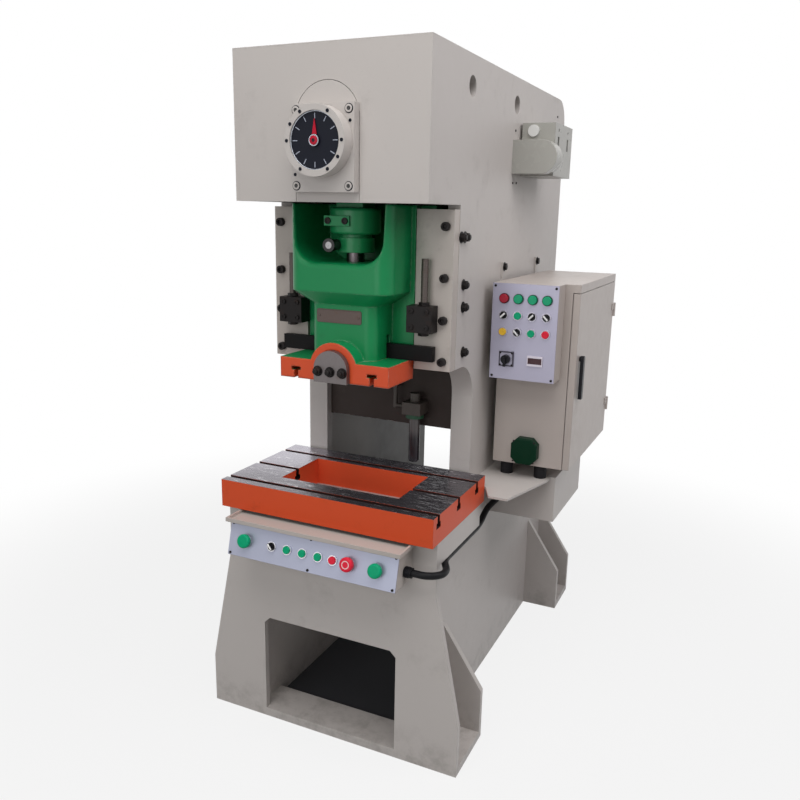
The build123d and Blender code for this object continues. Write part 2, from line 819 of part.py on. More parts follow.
def drive_belts():
    """Belts from the motor pulley to the flywheel rim."""
    loop = belt_loop(CLEAR + BELT_T) - belt_loop(CLEAR)
    middle = FLYWHEEL_FRONT + FLYWHEEL_W / 2
    belts = []
    for place in range(BELT_COUNT):
        centre = middle + (place - (BELT_COUNT - 1) / 2) * BELT_PITCH
        belts.append(slab_y(loop, centre - BELT_W / 2, centre + BELT_W / 2))
    return belts


# Dial
def cap_bolt_places():
    """Corners of the bearing cap where its bolts sit."""
    x = CAP_HALF - CAP_BOLT_INSET
    return [(side * x, z) for side in (-1, 1) for z in (cap_low + CAP_BOLT_INSET, cap_high - CAP_BOLT_INSET)]


def bearing_cap():
    """Square cap with counterbored corners, on the arched panel over the front crank bearing."""
    cap = block(-CAP_HALF, CAP_HALF, cap_front, head_front, cap_low, cap_high)
    cap += slab_y(arch_outline(ARCH_HALF - ARCH_SEAM, head_bottom), head_front, head_inside)
    for x, z in cap_bolt_places():
        cap -= rod_y(x, z, CAP_BOLT_R + CLEAR, cap_front - OVER, cap_front + CAP_BOLT_SINK)
    return cap - rod_y(0, crank_z, STUB_R + CLEAR, cap_front - OVER, head_inside + OVER)


def dial_bezel():
    """Ring that holds the dial, with a circle of small screw holes."""
    ring = rod_y(0, crank_z, BEZEL_R, bezel_front, cap_front)
    ring -= rod_y(0, crank_z, DIAL_R + CLEAR, bezel_front - OVER, dial_front + DIAL_T)
    ring -= rod_y(0, crank_z, STUB_R + CLEAR, bezel_front - OVER, cap_front + OVER)
    reach = (BEZEL_R + DIAL_R) / 2
    for degrees in bezel_hole_turns:
        turn = math.radians(degrees)
        x = reach * math.sin(turn)
        z = crank_z + reach * math.cos(turn)
        ring -= rod_y(x, z, BEZEL_HOLE_R, bezel_front - OVER, bezel_front + BEZEL_HOLE_DEPTH)
    return ring


def dial_face():
    """Dark dial disc inside the bezel."""
    disc = rod_y(0, crank_z, DIAL_R, dial_front, dial_front + DIAL_T)
    return disc - rod_y(0, crank_z, STUB_R + CLEAR, dial_front - OVER, dial_front + DIAL_T + OVER)


def dial_needle():
    """Tapered needle and its hub on the end of the crank stub."""
    back = dial_front - NEEDLE_GAP
    front = back - NEEDLE_T
    points = [(-NEEDLE_HALF, crank_z - NEEDLE_TAIL), (NEEDLE_HALF, crank_z - NEEDLE_TAIL),
              (0, crank_z + NEEDLE_L)]
    return slab_y(outline(points), front, back) + rod_y(0, crank_z, NEEDLE_HUB_R, front - NEEDLE_T, back)


# Slide and what it carries
def rounded_rect(half, front, back, radius):
    """A plan outline with its two front corners rounded."""
    points = [(-half, front), (half, front), (half, back), (-half, back)]
    return outline(points, {0: radius, 1: radius})


def clamp_outline(grow):
    """Stilted arch of the shank clamp in front view."""
    half = CLAMP_R + grow
    arch = Pos(0, clamp_z) * Circle(half)
    legs = outline([(-half, slide_bottom), (half, slide_bottom), (half, clamp_z), (-half, clamp_z)])
    low = outline([(-half, clamp_z - half - OVER), (half, clamp_z - half - OVER), (half, slide_bottom),
                   (-half, slide_bottom)])
    return arch + legs - low


def pocket_outline(grow):
    """Front view of the slide's pocket, wider towards its open top."""
    top = slide_top + OVER
    low = pocket_low - grow
    half = pocket_half + grow
    mouth = half + POCKET_DRAFT
    radius = POCKET_R + grow
    return outline([(-mouth, top), (-half, low), (half, low), (mouth, top)], {1: radius, 2: radius})


def pocket_rim():
    """Rounded rim of the pocket, cut as three sections of its quarter round."""
    rim = POCKET_RIM_R
    share = 1 - math.sqrt(1 / 2)
    steps = [(0, rim), (rim * share, rim * share), (rim, 0)]
    sections = [ALONG_Y.offset(-BULGE_FRONT - depth) * pocket_outline(grow) for depth, grow in steps]
    return loft(sections, ruled=True)


def slide():
    """Slide casting: guide body with wings, pocketed bulge, neck, flange and clamp boss."""
    body = block(-slide_half, slide_half, GUIDE_FRONT, SLIDE_REAR, flange_top - GUIDE_LAP, slide_top)
    body += block(-wing_half, wing_half, gib_lip_back + GUIDE_CLEAR, gib_back_front - GUIDE_CLEAR,
                  wing_low, slide_top)
    body += block(-slide_half, slide_half, SLIDE_FRONT, GUIDE_FRONT, slide_bottom, flange_top)
    neck = rounded_rect(neck_half, NECK_FRONT, GUIDE_FRONT, NECK_R)
    bulge = rounded_rect(bulge_half, BULGE_FRONT, GUIDE_FRONT, BULGE_R)
    body += slab_z(neck, flange_top, neck_high)
    body += loft([Plane.XY.offset(neck_high) * neck, Plane.XY.offset(bulge_low) * bulge])
    body += slab_z(bulge, bulge_low, slide_top)
    boss = rod_y(0, boss_z, BOSS_R, SLIDE_FRONT, NECK_FRONT + NECK_R)
    body += boss - block(-BOSS_R, BOSS_R, SLIDE_FRONT - OVER, GUIDE_FRONT,
                         boss_z - BOSS_R - OVER, slide_bottom)
    body -= slab_y(pocket_outline(0), BULGE_FRONT - OVER, POCKET_REAR)
    body -= pocket_rim()
    body -= slab_y(clamp_outline(CLEAR), SLIDE_FRONT - OVER, CLAMP_SHOULDER)
    tongue = TONGUE_HALF + CLEAR
    shank_top = slide_bottom + SHANK_DEPTH
    body -= block(-tongue, tongue, CLAMP_SHOULDER - OVER, SLIDE_Y, slide_bottom - OVER, shank_top + CLEAR)
    body -= rod_z(0, SLIDE_Y, SHANK_R, slide_bottom - OVER, shank_top)
    body -= block(-slide_half, slide_half, BAR_FRONT - GUIDE_CLEAR, BAR_FRONT + BAR_T + GUIDE_CLEAR,
                  flange_top, bar_slot_top)
    for x in (-slide_slot_x, slide_slot_x):
        mouth = SLIDE_SLOT_MOUTH / 2
        head = SLIDE_SLOT_HEAD / 2
        high = slide_bottom + SLIDE_SLOT_DEPTH
        body -= block(x - mouth, x + mouth, SLIDE_FRONT - OVER, SLIDE_REAR + OVER, slide_bottom - OVER, high)
        body -= block(x - head, x + head, SLIDE_FRONT - OVER, SLIDE_REAR + OVER,
                      high - SLIDE_SLOT_HEAD_H, high)
    return body


def shank_clamp():
    """Arched clamp block whose tongue closes on the tool shank."""
    head = slab_y(clamp_outline(0), clamp_front, CLAMP_SHOULDER - CLEAR)
    head += block(-TONGUE_HALF, TONGUE_HALF, CLAMP_SHOULDER - CLEAR, SLIDE_Y - CLEAR,
                  slide_bottom, slide_bottom + SHANK_DEPTH)
    return head - rod_z(0, SLIDE_Y, SHANK_R, slide_bottom - OVER, slide_bottom + SHANK_DEPTH + OVER)


def connecting_rod():
    """Rod with a big end that clears the turning pin, a split barrel and the worm housing."""
    front = SLIDE_Y - ROD_T / 2
    back = SLIDE_Y + ROD_T / 2
    eye = Pos(0, pin_z) * RectangleRounded(2 * ROD_EYE_HALF, 2 * ROD_EYE_RISE, ROD_EYE_R)
    slot_half = THROW + PIN_R + CLEAR
    slot_rise = PIN_R + LINK_PLAY
    eye -= Pos(0, pin_z) * RectangleRounded(2 * slot_half, 2 * slot_rise, PIN_R)
    rod = slab_y(eye, front, back)
    shank = ROD_SHANK_T / 2
    rod += block(-ROD_SHANK_HALF, ROD_SHANK_HALF, SLIDE_Y - shank, SLIDE_Y + shank,
                 barrel_high, pin_z - slot_rise - PIN_R / 2)
    barrel = rod_z(0, SLIDE_Y, BARREL_R, barrel_low, barrel_high)
    rod += fillet(barrel.edges().filter_by(GeomType.CIRCLE), BARREL_ROUND)
    rod += rod_z(0, SLIDE_Y, COLLAR_R, housing_high, barrel_low)
    rod += rod_z(0, SLIDE_Y, HOUSING_R, housing_low, housing_high)
    middle = (barrel_low + barrel_high) / 2
    rod += block(PAD_LEFT, PAD_RIGHT, SLIDE_Y - BARREL_R - PAD_STAND, SLIDE_Y,
                 middle - PAD_H / 2, middle + PAD_H / 2)
    return rod


def rod_adjuster():
    """Adjusting screw under the housing, and the worm shaft that turns it."""
    screw = rod_z(0, SLIDE_Y, SCREW_R, pocket_low, housing_low)
    reach = math.sqrt(HOUSING_R ** 2 - (abs(WORM_X) - WORM_R) ** 2)
    z = (housing_low + housing_high) / 2
    shaft = rod_y(WORM_X, z, WORM_R, worm_front, SLIDE_Y)
    shaft += rod_y(WORM_X, z, WORM_KNOB_R, worm_front - WORM_KNOB_L, worm_front)
    shaft -= rod_z(0, SLIDE_Y, HOUSING_R, housing_low - OVER, housing_high + OVER)
    outside = block(WORM_X - WORM_KNOB_R, WORM_X + WORM_KNOB_R,
                    worm_front - WORM_KNOB_L, SLIDE_Y - reach / 2,
                    z - WORM_KNOB_R, z + WORM_KNOB_R)
    return [screw, shaft & outside]


def knockout_bar():
    """Flat bar through the slide, lifted by the tool and pushed down by the stop screws."""
    low = flange_top + CLEAR
    return block(-bar_half, bar_half, BAR_FRONT, BAR_FRONT + BAR_T, low, low + BAR_H)


# Gibs and stops
def gib():
    """Right gib, a C-shaped guide rail in front of the side plate."""
    back = gib_back_front + GIB_BACK_T
    channel = wing_half + GUIDE_CLEAR
    points = [(gib_in, COLUMN_FRONT), (gib_out, COLUMN_FRONT), (gib_out, gib_lip_back),
              (plate_in, gib_lip_back), (plate_in, back), (gib_in, back), (gib_in, gib_back_front),
              (channel, gib_back_front), (channel, gib_lip_back), (gib_in, gib_lip_back)]
    return slab_z(outline(points), throat_top + FLANGE_T, gib_top) + slab_z(
        outline(points[:3] + [(gib_in, gib_lip_back)]), throat_top, throat_top + FLANGE_T)


def stop_block():
    """Right stop block on the gib, drilled for the stop screw."""
    front = COLUMN_FRONT - STOP_DEPTH
    piece = block(stop_in, stop_out, front, COLUMN_FRONT, stop_low, stop_high)
    return piece - rod_z(stop_screw_x, stop_screw_y, STOP_SCREW_R, stop_low - OVER, stop_high + OVER)


def stop_screw():
    """Right stop screw with its lock nut under the block."""
    low = stop_low - STOP_NUT_H
    screw = rod_z(stop_screw_x, stop_screw_y, STOP_SCREW_R, low, stop_screw_top)
    return screw + hex_bar(Plane(origin=(stop_screw_x, stop_screw_y, low)), STOP_NUT_R, STOP_NUT_H)


def frame_bolts():
    """Gib bolts, adjusting screws, stop screws and block bolts, all black steel."""
    bolts = []
    for drop in GIB_BOLT_DROPS:
        bolt = rod_y(gib_bolt_x, gib_top - drop, GIB_BOLT_R, COLUMN_FRONT - GIB_BOLT_H, COLUMN_FRONT)
        bolts += both_sides(bolt)
    for y, drop in ADJUSTERS:
        z = gib_top - drop
        screw = rod_x(y, z, ADJUSTER_R, plate_out, plate_out + ADJUSTER_L)
        seat = Plane(origin=(plate_out, y, z), z_dir=(1, 0, 0))
        bolts += both_sides(screw + hex_bar(seat, ADJUSTER_NUT_R, ADJUSTER_NUT_H))
    bolts += both_sides(stop_screw())
    front = COLUMN_FRONT - STOP_DEPTH
    for x in (stop_in + STOP_BOLT_INSET, stop_out - STOP_BOLT_INSET):
        for z in (stop_low + STOP_BOLT_INSET, stop_high - STOP_BOLT_INSET):
            bolts += both_sides(rod_y(x, z, STOP_BOLT_R, front - STOP_BOLT_H, front))
    for x, z in cap_bolt_places():
        bolts.append(rod_y(x, z, CAP_BOLT_R, cap_front, cap_front + CAP_BOLT_SINK))
    return bolts


# Controls
def console_plane():
    """Plane of the console's face plate, its normal towards the operator."""
    run = console_top_front - console_low_front
    rise = console_top - console_low
    centre = (0, (console_top_front + console_low_front) / 2, (console_top + console_low) / 2)
    return Plane(origin=centre, x_dir=(1, 0, 0), z_dir=(0, -rise, run))


def panel_plane():
    """Plane behind the cabinet's operator plate, its normal towards the operator."""
    return Plane(origin=(0, panel_front + PLATE_FACE_T, 0), x_dir=(1, 0, 0), z_dir=(0, -1, 0))


CONSOLE = console_plane()
PANEL = panel_plane()
panel_xs = [cabinet_x + PANEL_W * share for share in panel_x_shares]
panel_zs = [panel_low + PANEL_H * share for share in panel_z_shares]
lamp_places = [(x, panel_zs[0]) for x in panel_xs]
palm_x = CONSOLE_HALF * palm_share
green_xs = [CONSOLE_HALF * share for share in green_shares]
console_places = {
    "palm_button_left": (-palm_x, 0), "console_selector": (CONSOLE_HALF * selector_share, 0),
    "console_green_1": (green_xs[0], 0), "console_green_2": (green_xs[1], 0),
    "console_green_3": (green_xs[2], 0), "console_red": (CONSOLE_HALF * red_share, 0),
    "emergency_stop": (CONSOLE_HALF * stop_share, 0), "palm_button_right": (palm_x, 0),
}
panel_places = {
    "panel_selector_1": (panel_xs[0], panel_zs[1]), "panel_green_1": (panel_xs[1], panel_zs[1]),
    "panel_selector_2": (panel_xs[2], panel_zs[1]), "panel_selector_3": (panel_xs[3], panel_zs[1]),
    "panel_yellow": (panel_xs[0], panel_zs[2]), "panel_selector_4": (panel_xs[1], panel_zs[2]),
    "panel_green_2": (panel_xs[2], panel_zs[2]), "panel_red": (panel_xs[3], panel_zs[2]),
}
# Rest angle of each selector bar, in degrees clockwise from upright
selector_turns = {
    "console_selector": -45, "panel_selector_1": 45, "panel_selector_2": 45,
    "panel_selector_3": -45, "panel_selector_4": -45,
}


def local_rod(plane, place, radius, low, high):
    """A round bar square to a control plane."""
    return plane * (Pos(place[0], place[1], low) * extrude(Circle(radius), high - low))


def bezel(plane, place):
    """Chrome ring round a button."""
    ring = local_rod(plane, place, BEZEL_RING_R, PLATE_FACE_T, PLATE_FACE_T + BEZEL_RING_H)
    return ring - local_rod(plane, place, BUTTON_R + BUTTON_GAP, 0, PLATE_FACE_T + BEZEL_RING_H + OVER)


def push_button(plane, place):
    """Flat push-button cap with its body behind the plate."""
    cap = extrude(Circle(BUTTON_R), PLATE_FACE_T + BUTTON_PROUD + BUTTON_INSIDE)
    cap = fillet(cap.edges().group_by(Axis.Z)[-1], BUTTON_ROUND)
    return plane * (Pos(place[0], place[1], -BUTTON_INSIDE) * cap)


def palm_button(plane, place):
    """Mushroom button on a stem."""
    head = extrude(Circle(PALM_R), PALM_HIGH - PALM_LOW)
    head = fillet(head.edges().group_by(Axis.Z)[-1], PALM_ROUND)
    button = plane * (Pos(place[0], place[1], PLATE_FACE_T + PALM_LOW) * head)
    return button + local_rod(plane, place, BUTTON_R, -BUTTON_INSIDE, PLATE_FACE_T + PALM_LOW)


def selector(plane, place, turn):
    """Selector knob with a raised bar, turned to its rest position."""
    low = PLATE_FACE_T + SELECTOR_H
    knob = local_rod(plane, place, BUTTON_R, -BUTTON_INSIDE, low)
    bar = extrude(Rectangle(SELECTOR_BAR_W, 2 * BUTTON_R - BUTTON_GAP), SELECTOR_BAR_H)
    return knob + plane * (Pos(place[0], place[1], low) * Rot(0, 0, -turn) * bar)


def rotary_knob():
    """Handle of the rotary switch."""
    place = (rotary_x, rotary_z)
    low = PLATE_FACE_T + ROTARY_T + BUTTON_GAP
    knob = local_rod(PANEL, place, ROTARY_STEM_R, -BUTTON_INSIDE, low)
    knob += local_rod(PANEL, place, ROTARY_R, low, low + ROTARY_H)
    bar = extrude(Rectangle(ROTARY_BAR_W, 2 * ROTARY_R), ROTARY_BAR_H)
    lift = Pos(rotary_x, rotary_z - ROTARY_R / 2, low + ROTARY_H)
    return knob + PANEL * (lift * bar)


def lamp(place):
    """Signal lamp: a flanged ring with a domed lens."""
    ring = local_rod(PANEL, place, LAMP_RING_R, PLATE_FACE_T, PLATE_FACE_T + LAMP_RING_H)
    lens = extrude(Circle(LAMP_R), LAMP_H - LAMP_RING_H)
    lens = fillet(lens.edges().group_by(Axis.Z)[-1], BUTTON_ROUND)
    return ring + PANEL * (Pos(place[0], place[1], PLATE_FACE_T + LAMP_RING_H) * lens)


def console_plate():
    """Face plate of the console with its button holes."""
    height = math.hypot(console_top_front - console_low_front, console_top - console_low)
    plate = CONSOLE * extrude(Rectangle(2 * CONSOLE_HALF, height - PLATE_FACE_T), PLATE_FACE_T)
    for place in console_places.values():
        plate -= local_rod(CONSOLE, place, BUTTON_R + BUTTON_GAP, -OVER, PLATE_FACE_T + OVER)
    return plate


def panel_plate():
    """Operator plate with its holes, the rotary switch plate and the counter frame."""
    back = panel_front + PLATE_FACE_T
    plate = block(cabinet_x, panel_out, panel_front, back, panel_low, cabinet_high)
    plate += block(rotary_x - ROTARY_HALF, rotary_x + ROTARY_HALF, panel_front - ROTARY_T, panel_front,
                   rotary_z - ROTARY_HALF, rotary_z + ROTARY_HALF)
    plate += block(counter_x - COUNTER_HALF, counter_x + COUNTER_HALF, panel_front - COUNTER_T, panel_front,
                   rotary_z - COUNTER_RISE, rotary_z + COUNTER_RISE)
    inset = COUNTER_HALF - COUNTER_INSET
    rise = COUNTER_RISE - COUNTER_INSET
    plate -= block(counter_x - inset, counter_x + inset, panel_front - COUNTER_T - OVER,
                   panel_front - COUNTER_T + COUNTER_SINK, rotary_z - rise, rotary_z + rise)
    for place in panel_places.values():
        plate -= local_rod(PANEL, place, BUTTON_R + BUTTON_GAP, -OVER, PLATE_FACE_T + OVER)
    return plate - local_rod(PANEL, (rotary_x, rotary_z), ROTARY_STEM_R + BUTTON_GAP, -OVER,
                             PLATE_FACE_T + ROTARY_T + OVER)


def console_box():
    """Folded console behind the face plate, with the shallow tray on top."""
    def wedge(wall, front):
        low = console_low + wall
        high = console_top - wall
        points = [(console_low_front - front, low), (console_top_front - front, high),
                  (BASE_FRONT - wall, high), (BASE_FRONT - wall, low)]
        return slab_x(outline(points), wall - CONSOLE_HALF, CONSOLE_HALF - wall)

    box = wedge(0, 0) - wedge(CONSOLE_WALL, CONSOLE_WALL)
    top = console_top + TRAY_H
    box += block(-tray_half, tray_half, tray_front, BASE_FRONT, console_top, top)
    inner = tray_half - TRAY_RIM
    return box - block(-inner, inner, tray_front + TRAY_RIM, BASE_FRONT - TRAY_RIM,
                       top - TRAY_SINK, top + OVER)


def panel_box():
    """Box behind the operator plate, fixed to the cabinet front."""
    back = panel_front + PLATE_FACE_T
    box = block(cabinet_x, panel_out, back, CABINET_FRONT, panel_low, cabinet_high)
    return box - block(cabinet_x + PANEL_WALL, panel_out - PANEL_WALL, back - OVER,
                       CABINET_FRONT - PANEL_WALL, panel_low + PANEL_WALL, cabinet_high - PANEL_WALL)


# Cabinet
def cabinet_body():
    """Sheet cabinet, open on the door side, with a rim over the door."""
    wall = CABINET_WALL
    body = block(cabinet_x, cabinet_out, CABINET_FRONT, cabinet_rear, cabinet_low, cabinet_high)
    body -= block(cabinet_x + wall, cabinet_out + OVER, CABINET_FRONT + wall, cabinet_rear - wall,
                  cabinet_low + wall, cabinet_high - wall)
    rim = block(cabinet_out, door_out, CABINET_FRONT, cabinet_rear, cabinet_high - wall, cabinet_high)
    rim += block(door_out - wall, door_out, CABINET_FRONT, cabinet_rear, cabinet_high - RIM_H, cabinet_high)
    for y in (CABINET_FRONT, cabinet_rear - wall):
        rim += block(cabinet_out, door_out, y, y + wall, cabinet_high - RIM_H, cabinet_high)
    body += rim
    for z in hinge_zs:
        body += block(cabinet_out - HINGE_LEAF, door_out, cabinet_rear, cabinet_rear + HINGE_T,
                      z - HINGE_H, z)
        body += rod_z(door_out, hinge_y, HINGE_R, z - HINGE_H, z)
        body += rod_z(door_out, hinge_y, HINGE_PIN_R, z, z + HINGE_H)
    return body


def cabinet_door():
    """Door with folded edges on the right side of the cabinet."""
    high = cabinet_high - RIM_H - DOOR_GAP
    low = cabinet_low + DOOR_GAP
    door = block(door_in, door_out, CABINET_FRONT, cabinet_rear, low, high)
    skin = DOOR_SKIN
    door -= block(door_in - OVER, door_out - skin, CABINET_FRONT + skin, cabinet_rear - skin,
                  low + skin, high - skin)
    for z in hinge_zs:
        door += block(door_out, door_out + HINGE_T, cabinet_rear - HINGE_LEAF, hinge_y,
                      z + CLEAR, z + HINGE_H)
        door += rod_z(door_out, hinge_y, HINGE_R, z + CLEAR, z + HINGE_H)
        door -= rod_z(door_out, hinge_y, HINGE_PIN_R + FIT, z, z + HINGE_H + OVER)
    return door


def door_handle():
    """Swing handle on the door, standing on its pivot."""
    low = handle_z - HANDLE_L + HANDLE_W / 2
    face = door_out + HANDLE_STAND
    bar = block(face, face + HANDLE_T, handle_y - HANDLE_W / 2, handle_y + HANDLE_W / 2, low, handle_z)
    bar += rod_x(handle_y, handle_z, HANDLE_W / 2, face, face + HANDLE_T)
    return bar + rod_x(handle_y, handle_z, HANDLE_PIVOT_R, door_out + CLEAR, face)


def socket_box():
    """Square socket box with cut corners on the cabinet front."""
    cut = SOCKET_HALF * angle_share
    face = chamfer(Rectangle(2 * SOCKET_HALF, 2 * SOCKET_HALF).vertices(), cut)
    box = slab_y(Pos(socket_x, socket_z) * face, CABINET_FRONT - SOCKET_DEPTH, CABINET_FRONT)
    return fillet(box.faces().sort_by(Axis.Y)[0].edges(), SOCKET_ROUND)


def cabinet_mounts():
    """Rubber mounts under the cabinet."""
    xs = [plate_out + SUPPORT_W * share for share in mount_x_shares]
    ys = [CABINET_FRONT + CABINET_DEPTH * share for share in mount_y_shares]
    return [rod_z(x, y, MOUNT_R, support_top, cabinet_low) for x in xs for y in ys]


def cabinet_support():
    """Support box with its bracket plate, and the two hangers above the cabinet."""
    wall = SUPPORT_WALL
    box = block(plate_out, support_out, support_front, support_rear, support_low, support_top)
    box -= block(plate_out + wall, support_out - wall, support_front + wall, support_rear - wall,
                 support_low - OVER, support_top - wall)
    notch_x = max(BOLSTER_HALF, plate_out) + BRACKET_GAP
    notch_y = bolster_rear + BRACKET_GAP
    nose_x = notch_x + BRACKET_NOSE_GAP
    nose_y = support_front - BRACKET_REACH
    tip_x = support_out - BRACKET_INSET
    points = [(plate_out, notch_y), (notch_x, notch_y), (nose_x, nose_y), (nose_x + BRACKET_NOSE_W, nose_y),
              (tip_x, support_front - BRACKET_TIP), (tip_x, support_front), (plate_out, support_front)]
    pieces = [box + slab_z(outline(points), support_top - BRACKET_T, support_top)]
    side = HANGER_W / 2
    for share in hanger_shares:
        y = CABINET_FRONT + CABINET_DEPTH * share
        strap = block(plate_out, plate_out + HANGER_T, y - side, y + side, hanger_low, hanger_top)
        strap += block(plate_out, cabinet_x, y - side, y + side, hanger_low, hanger_low + HANGER_T)
        nut = Plane(origin=(plate_out + HANGER_T, y, hanger_bolt_z), z_dir=(1, 0, 0))
        pieces.append(strap + hex_bar(nut, HANGER_BOLT_R, HANGER_T))
    return pieces


# Cam switch, air filter and hose
def chain_guard():
    """Guard round the chain that drives the cam switch, open at its back."""
    def plan(grow):
        end = Pos(guard_x, guard_z) * Circle(GUARD_R - grow)
        half = GUARD_R - grow
        run = outline([(plate_out, guard_z - half), (guard_x, guard_z - half), (guard_x, guard_z + half),
                       (plate_out, guard_z + half)])
        return end + run

    back = GUARD_FRONT + GUARD_DEPTH
    guard = slab_y(plan(0), GUARD_FRONT, back)
    return guard - slab_y(plan(GUARD_WALL), GUARD_FRONT + GUARD_WALL, back + OVER)


def cam_switch_box():
    """Cast box of the rotary cam switch with its cover disc and cable slots."""
    box = block(cam_in, cam_out, cam_front, cam_rear, cam_low, cam_high)
    inset = CAM_FOOT_INSET
    box += block(plate_out, cam_in, cam_front + inset, cam_rear - inset, cam_low + inset,
                 cam_high - inset)
    box += rod_y(disc_x, disc_z, CAM_DISC_R, cam_front - CAM_DISC_H, cam_front)
    low = cam_low + CAM_BOX_H * cam_slot_low_share
    high = cam_low + CAM_BOX_H * cam_slot_high_share
    hole = cam_low + CAM_BOX_H * cam_hole_share
    for share in cam_y_shares:
        y = cam_front + CAM_BOX_L * share
        sunk = cam_out - CAM_SLOT_SINK
        box -= block(sunk, cam_out + OVER, y - CAM_SLOT_W / 2, y + CAM_SLOT_W / 2, low, high)
        box -= rod_x(y, hole, CAM_HOLE_R, sunk, cam_out + OVER)
    return box


def air_filter():
    """Air filter and regulator on the column web, bowl hanging below its head."""
    half = FILTER_HEAD_HALF
    unit = block(FILTER_X - half, FILTER_X + half, filter_y - half, web_front, filter_low, filter_high)
    unit += rod_z(FILTER_X, filter_y, FILTER_KNOB_R, filter_high, filter_high + FILTER_KNOB_H)
    unit += rod_z(FILTER_X, filter_y, FILTER_BAND_R, filter_low - FILTER_BAND_H, filter_low)
    bowl_top = filter_low - FILTER_BAND_H
    bowl = rod_z(FILTER_X, filter_y, BOWL_R, bowl_top - BOWL_L, bowl_top)
    unit += fillet(bowl.edges().group_by(Axis.Z)[0], BOWL_ROUND)
    middle = (filter_low + filter_high) / 2
    pipe_x = FILTER_X - half - PIPE_RUN
    unit += rod_x(filter_y, middle, PIPE_R, pipe_x, FILTER_X)
    unit += rod_z(pipe_x, filter_y, PIPE_R, middle - PIPE_R, middle + PIPE_RISE)
    return unit + rod_y(pipe_x, middle + PIPE_RISE, PIPE_R, filter_y - PIPE_R, web_front)


def console_hose():
    """Gland on the console and the hose held under the bed, back to the support box."""
    points = []
    for out, back, drop in HOSE_CORNERS:
        points.append(Vector(plate_out + out, BASE_FRONT + back, BED_BOTTOM - drop))
    x = CONSOLE_HALF + GLAND_L
    gland = rod_x(points[0].Y, points[0].Z, GLAND_R, CONSOLE_HALF, x)
    points.insert(0, Vector(x, points[0].Y, points[0].Z))
    points.append(Vector(plate_out + HOSE_END_OUT, support_front, BED_BOTTOM + HOSE_END_RISE))
    radii = []
    for before, corner, after in zip(points, points[1:], points[2:]):
        turn = (corner - before).get_angle(after - corner)
        shorter = min((corner - before).length, (after - corner).length)
        radii.append(angle_share * shorter / math.tan(math.radians(turn) / 2))
    print("hose bend radii", [round(radius) for radius in radii])
    path = FilletPolyline(*points, radius=radii)
    hose = sweep(Plane(origin=path @ 0, z_dir=path % 0) * Circle(HOSE_R), path=path)
    print("hose volume share", round(hose.volume / (math.pi * HOSE_R ** 2 * path.length), 4))
    return [gland, hose]


os.makedirs("parts", exist_ok=True)
for side, plate in zip(("right", "left"), both_sides(side_plate())):
    save(f"side_plate_{side}", plate)
save("head_front_plate", head_front_plate())
save("top_cover", top_cover())
save("bearing_walls", *bearing_walls())
save("column_web", column_web())
save("base_front_plate", base_front_plate())
save("base_rear_plate", base_rear_plate())
save("bed_block", bed_block())
save("feet", *feet())
save("bolster", bolster())
save("crankshaft", crankshaft())
save("flywheel", flywheel())
save("motor", motor())
save("motor_pulley", motor_pulley())
save("drive_belts", *drive_belts())
save("bearing_cap", bearing_cap())
save("dial_bezel", dial_bezel())
save("dial_face", dial_face())
save("dial_needle", dial_needle())
save("slide", slide())
save("shank_clamp", shank_clamp())
save("connecting_rod", connecting_rod())
save("rod_adjuster", *rod_adjuster())
save("knockout_bar", knockout_bar())
save("gibs", *both_sides(gib()))
save("stop_blocks", *both_sides(stop_block()))
save("frame_bolts", *frame_bolts())
save("console_box", console_box())
save("panel_box", panel_box())
save("control_plates", console_plate(), panel_plate())
console_bezels = [bezel(CONSOLE, place) for place in console_places.values()]
panel_bezels = [bezel(PANEL, place) for place in panel_places.values()]
save("button_bezels", *console_bezels, *panel_bezels)
save("panel_lamps", *[lamp(place) for place in lamp_places])
for plane, places in ((CONSOLE, console_places), (PANEL, panel_places)):
    for name, place in places.items():
        if name in selector_turns:
            save(name, selector(plane, place, selector_turns[name]))
        elif name.startswith(("palm", "emergency")):
            save(name, palm_button(plane, place))
        else:
            save(name, push_button(plane, place))
save("rotary_knob", rotary_knob())
save("cabinet_body", cabinet_body())
save("cabinet_door", cabinet_door())
save("door_handle", door_handle())
save("socket_box", socket_box())
save("cabinet_mounts", *cabinet_mounts())
save("cabinet_support", *cabinet_support())
save("chain_guard", chain_guard())
save("cam_switch_box", cam_switch_box())
save("air_filter", air_filter())
save("console_hose", *console_hose())
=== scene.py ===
# %% [markdown]
# # Dressing an open-back power press
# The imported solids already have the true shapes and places. This lesson gives them paint, steel and
# plastic, adds the small pieces that a solid modeller leaves out, and sets up the camera and the light.

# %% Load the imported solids
import math

import bpy
from mathutils import Matrix, Vector


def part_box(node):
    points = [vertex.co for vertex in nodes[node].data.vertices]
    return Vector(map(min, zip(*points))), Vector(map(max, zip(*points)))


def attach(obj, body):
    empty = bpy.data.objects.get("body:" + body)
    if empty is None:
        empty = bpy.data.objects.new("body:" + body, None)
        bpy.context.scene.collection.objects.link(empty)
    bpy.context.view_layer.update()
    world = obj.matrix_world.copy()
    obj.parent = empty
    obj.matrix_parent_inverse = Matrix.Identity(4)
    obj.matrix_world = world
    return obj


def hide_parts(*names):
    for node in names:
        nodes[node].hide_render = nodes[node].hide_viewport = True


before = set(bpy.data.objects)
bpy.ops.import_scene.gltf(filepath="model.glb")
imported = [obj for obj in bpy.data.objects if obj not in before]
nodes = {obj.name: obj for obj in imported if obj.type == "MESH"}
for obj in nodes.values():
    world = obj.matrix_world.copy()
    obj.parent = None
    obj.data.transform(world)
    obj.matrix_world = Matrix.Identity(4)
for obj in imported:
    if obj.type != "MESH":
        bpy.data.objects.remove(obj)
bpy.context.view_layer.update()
print("solids loaded:", len(nodes))

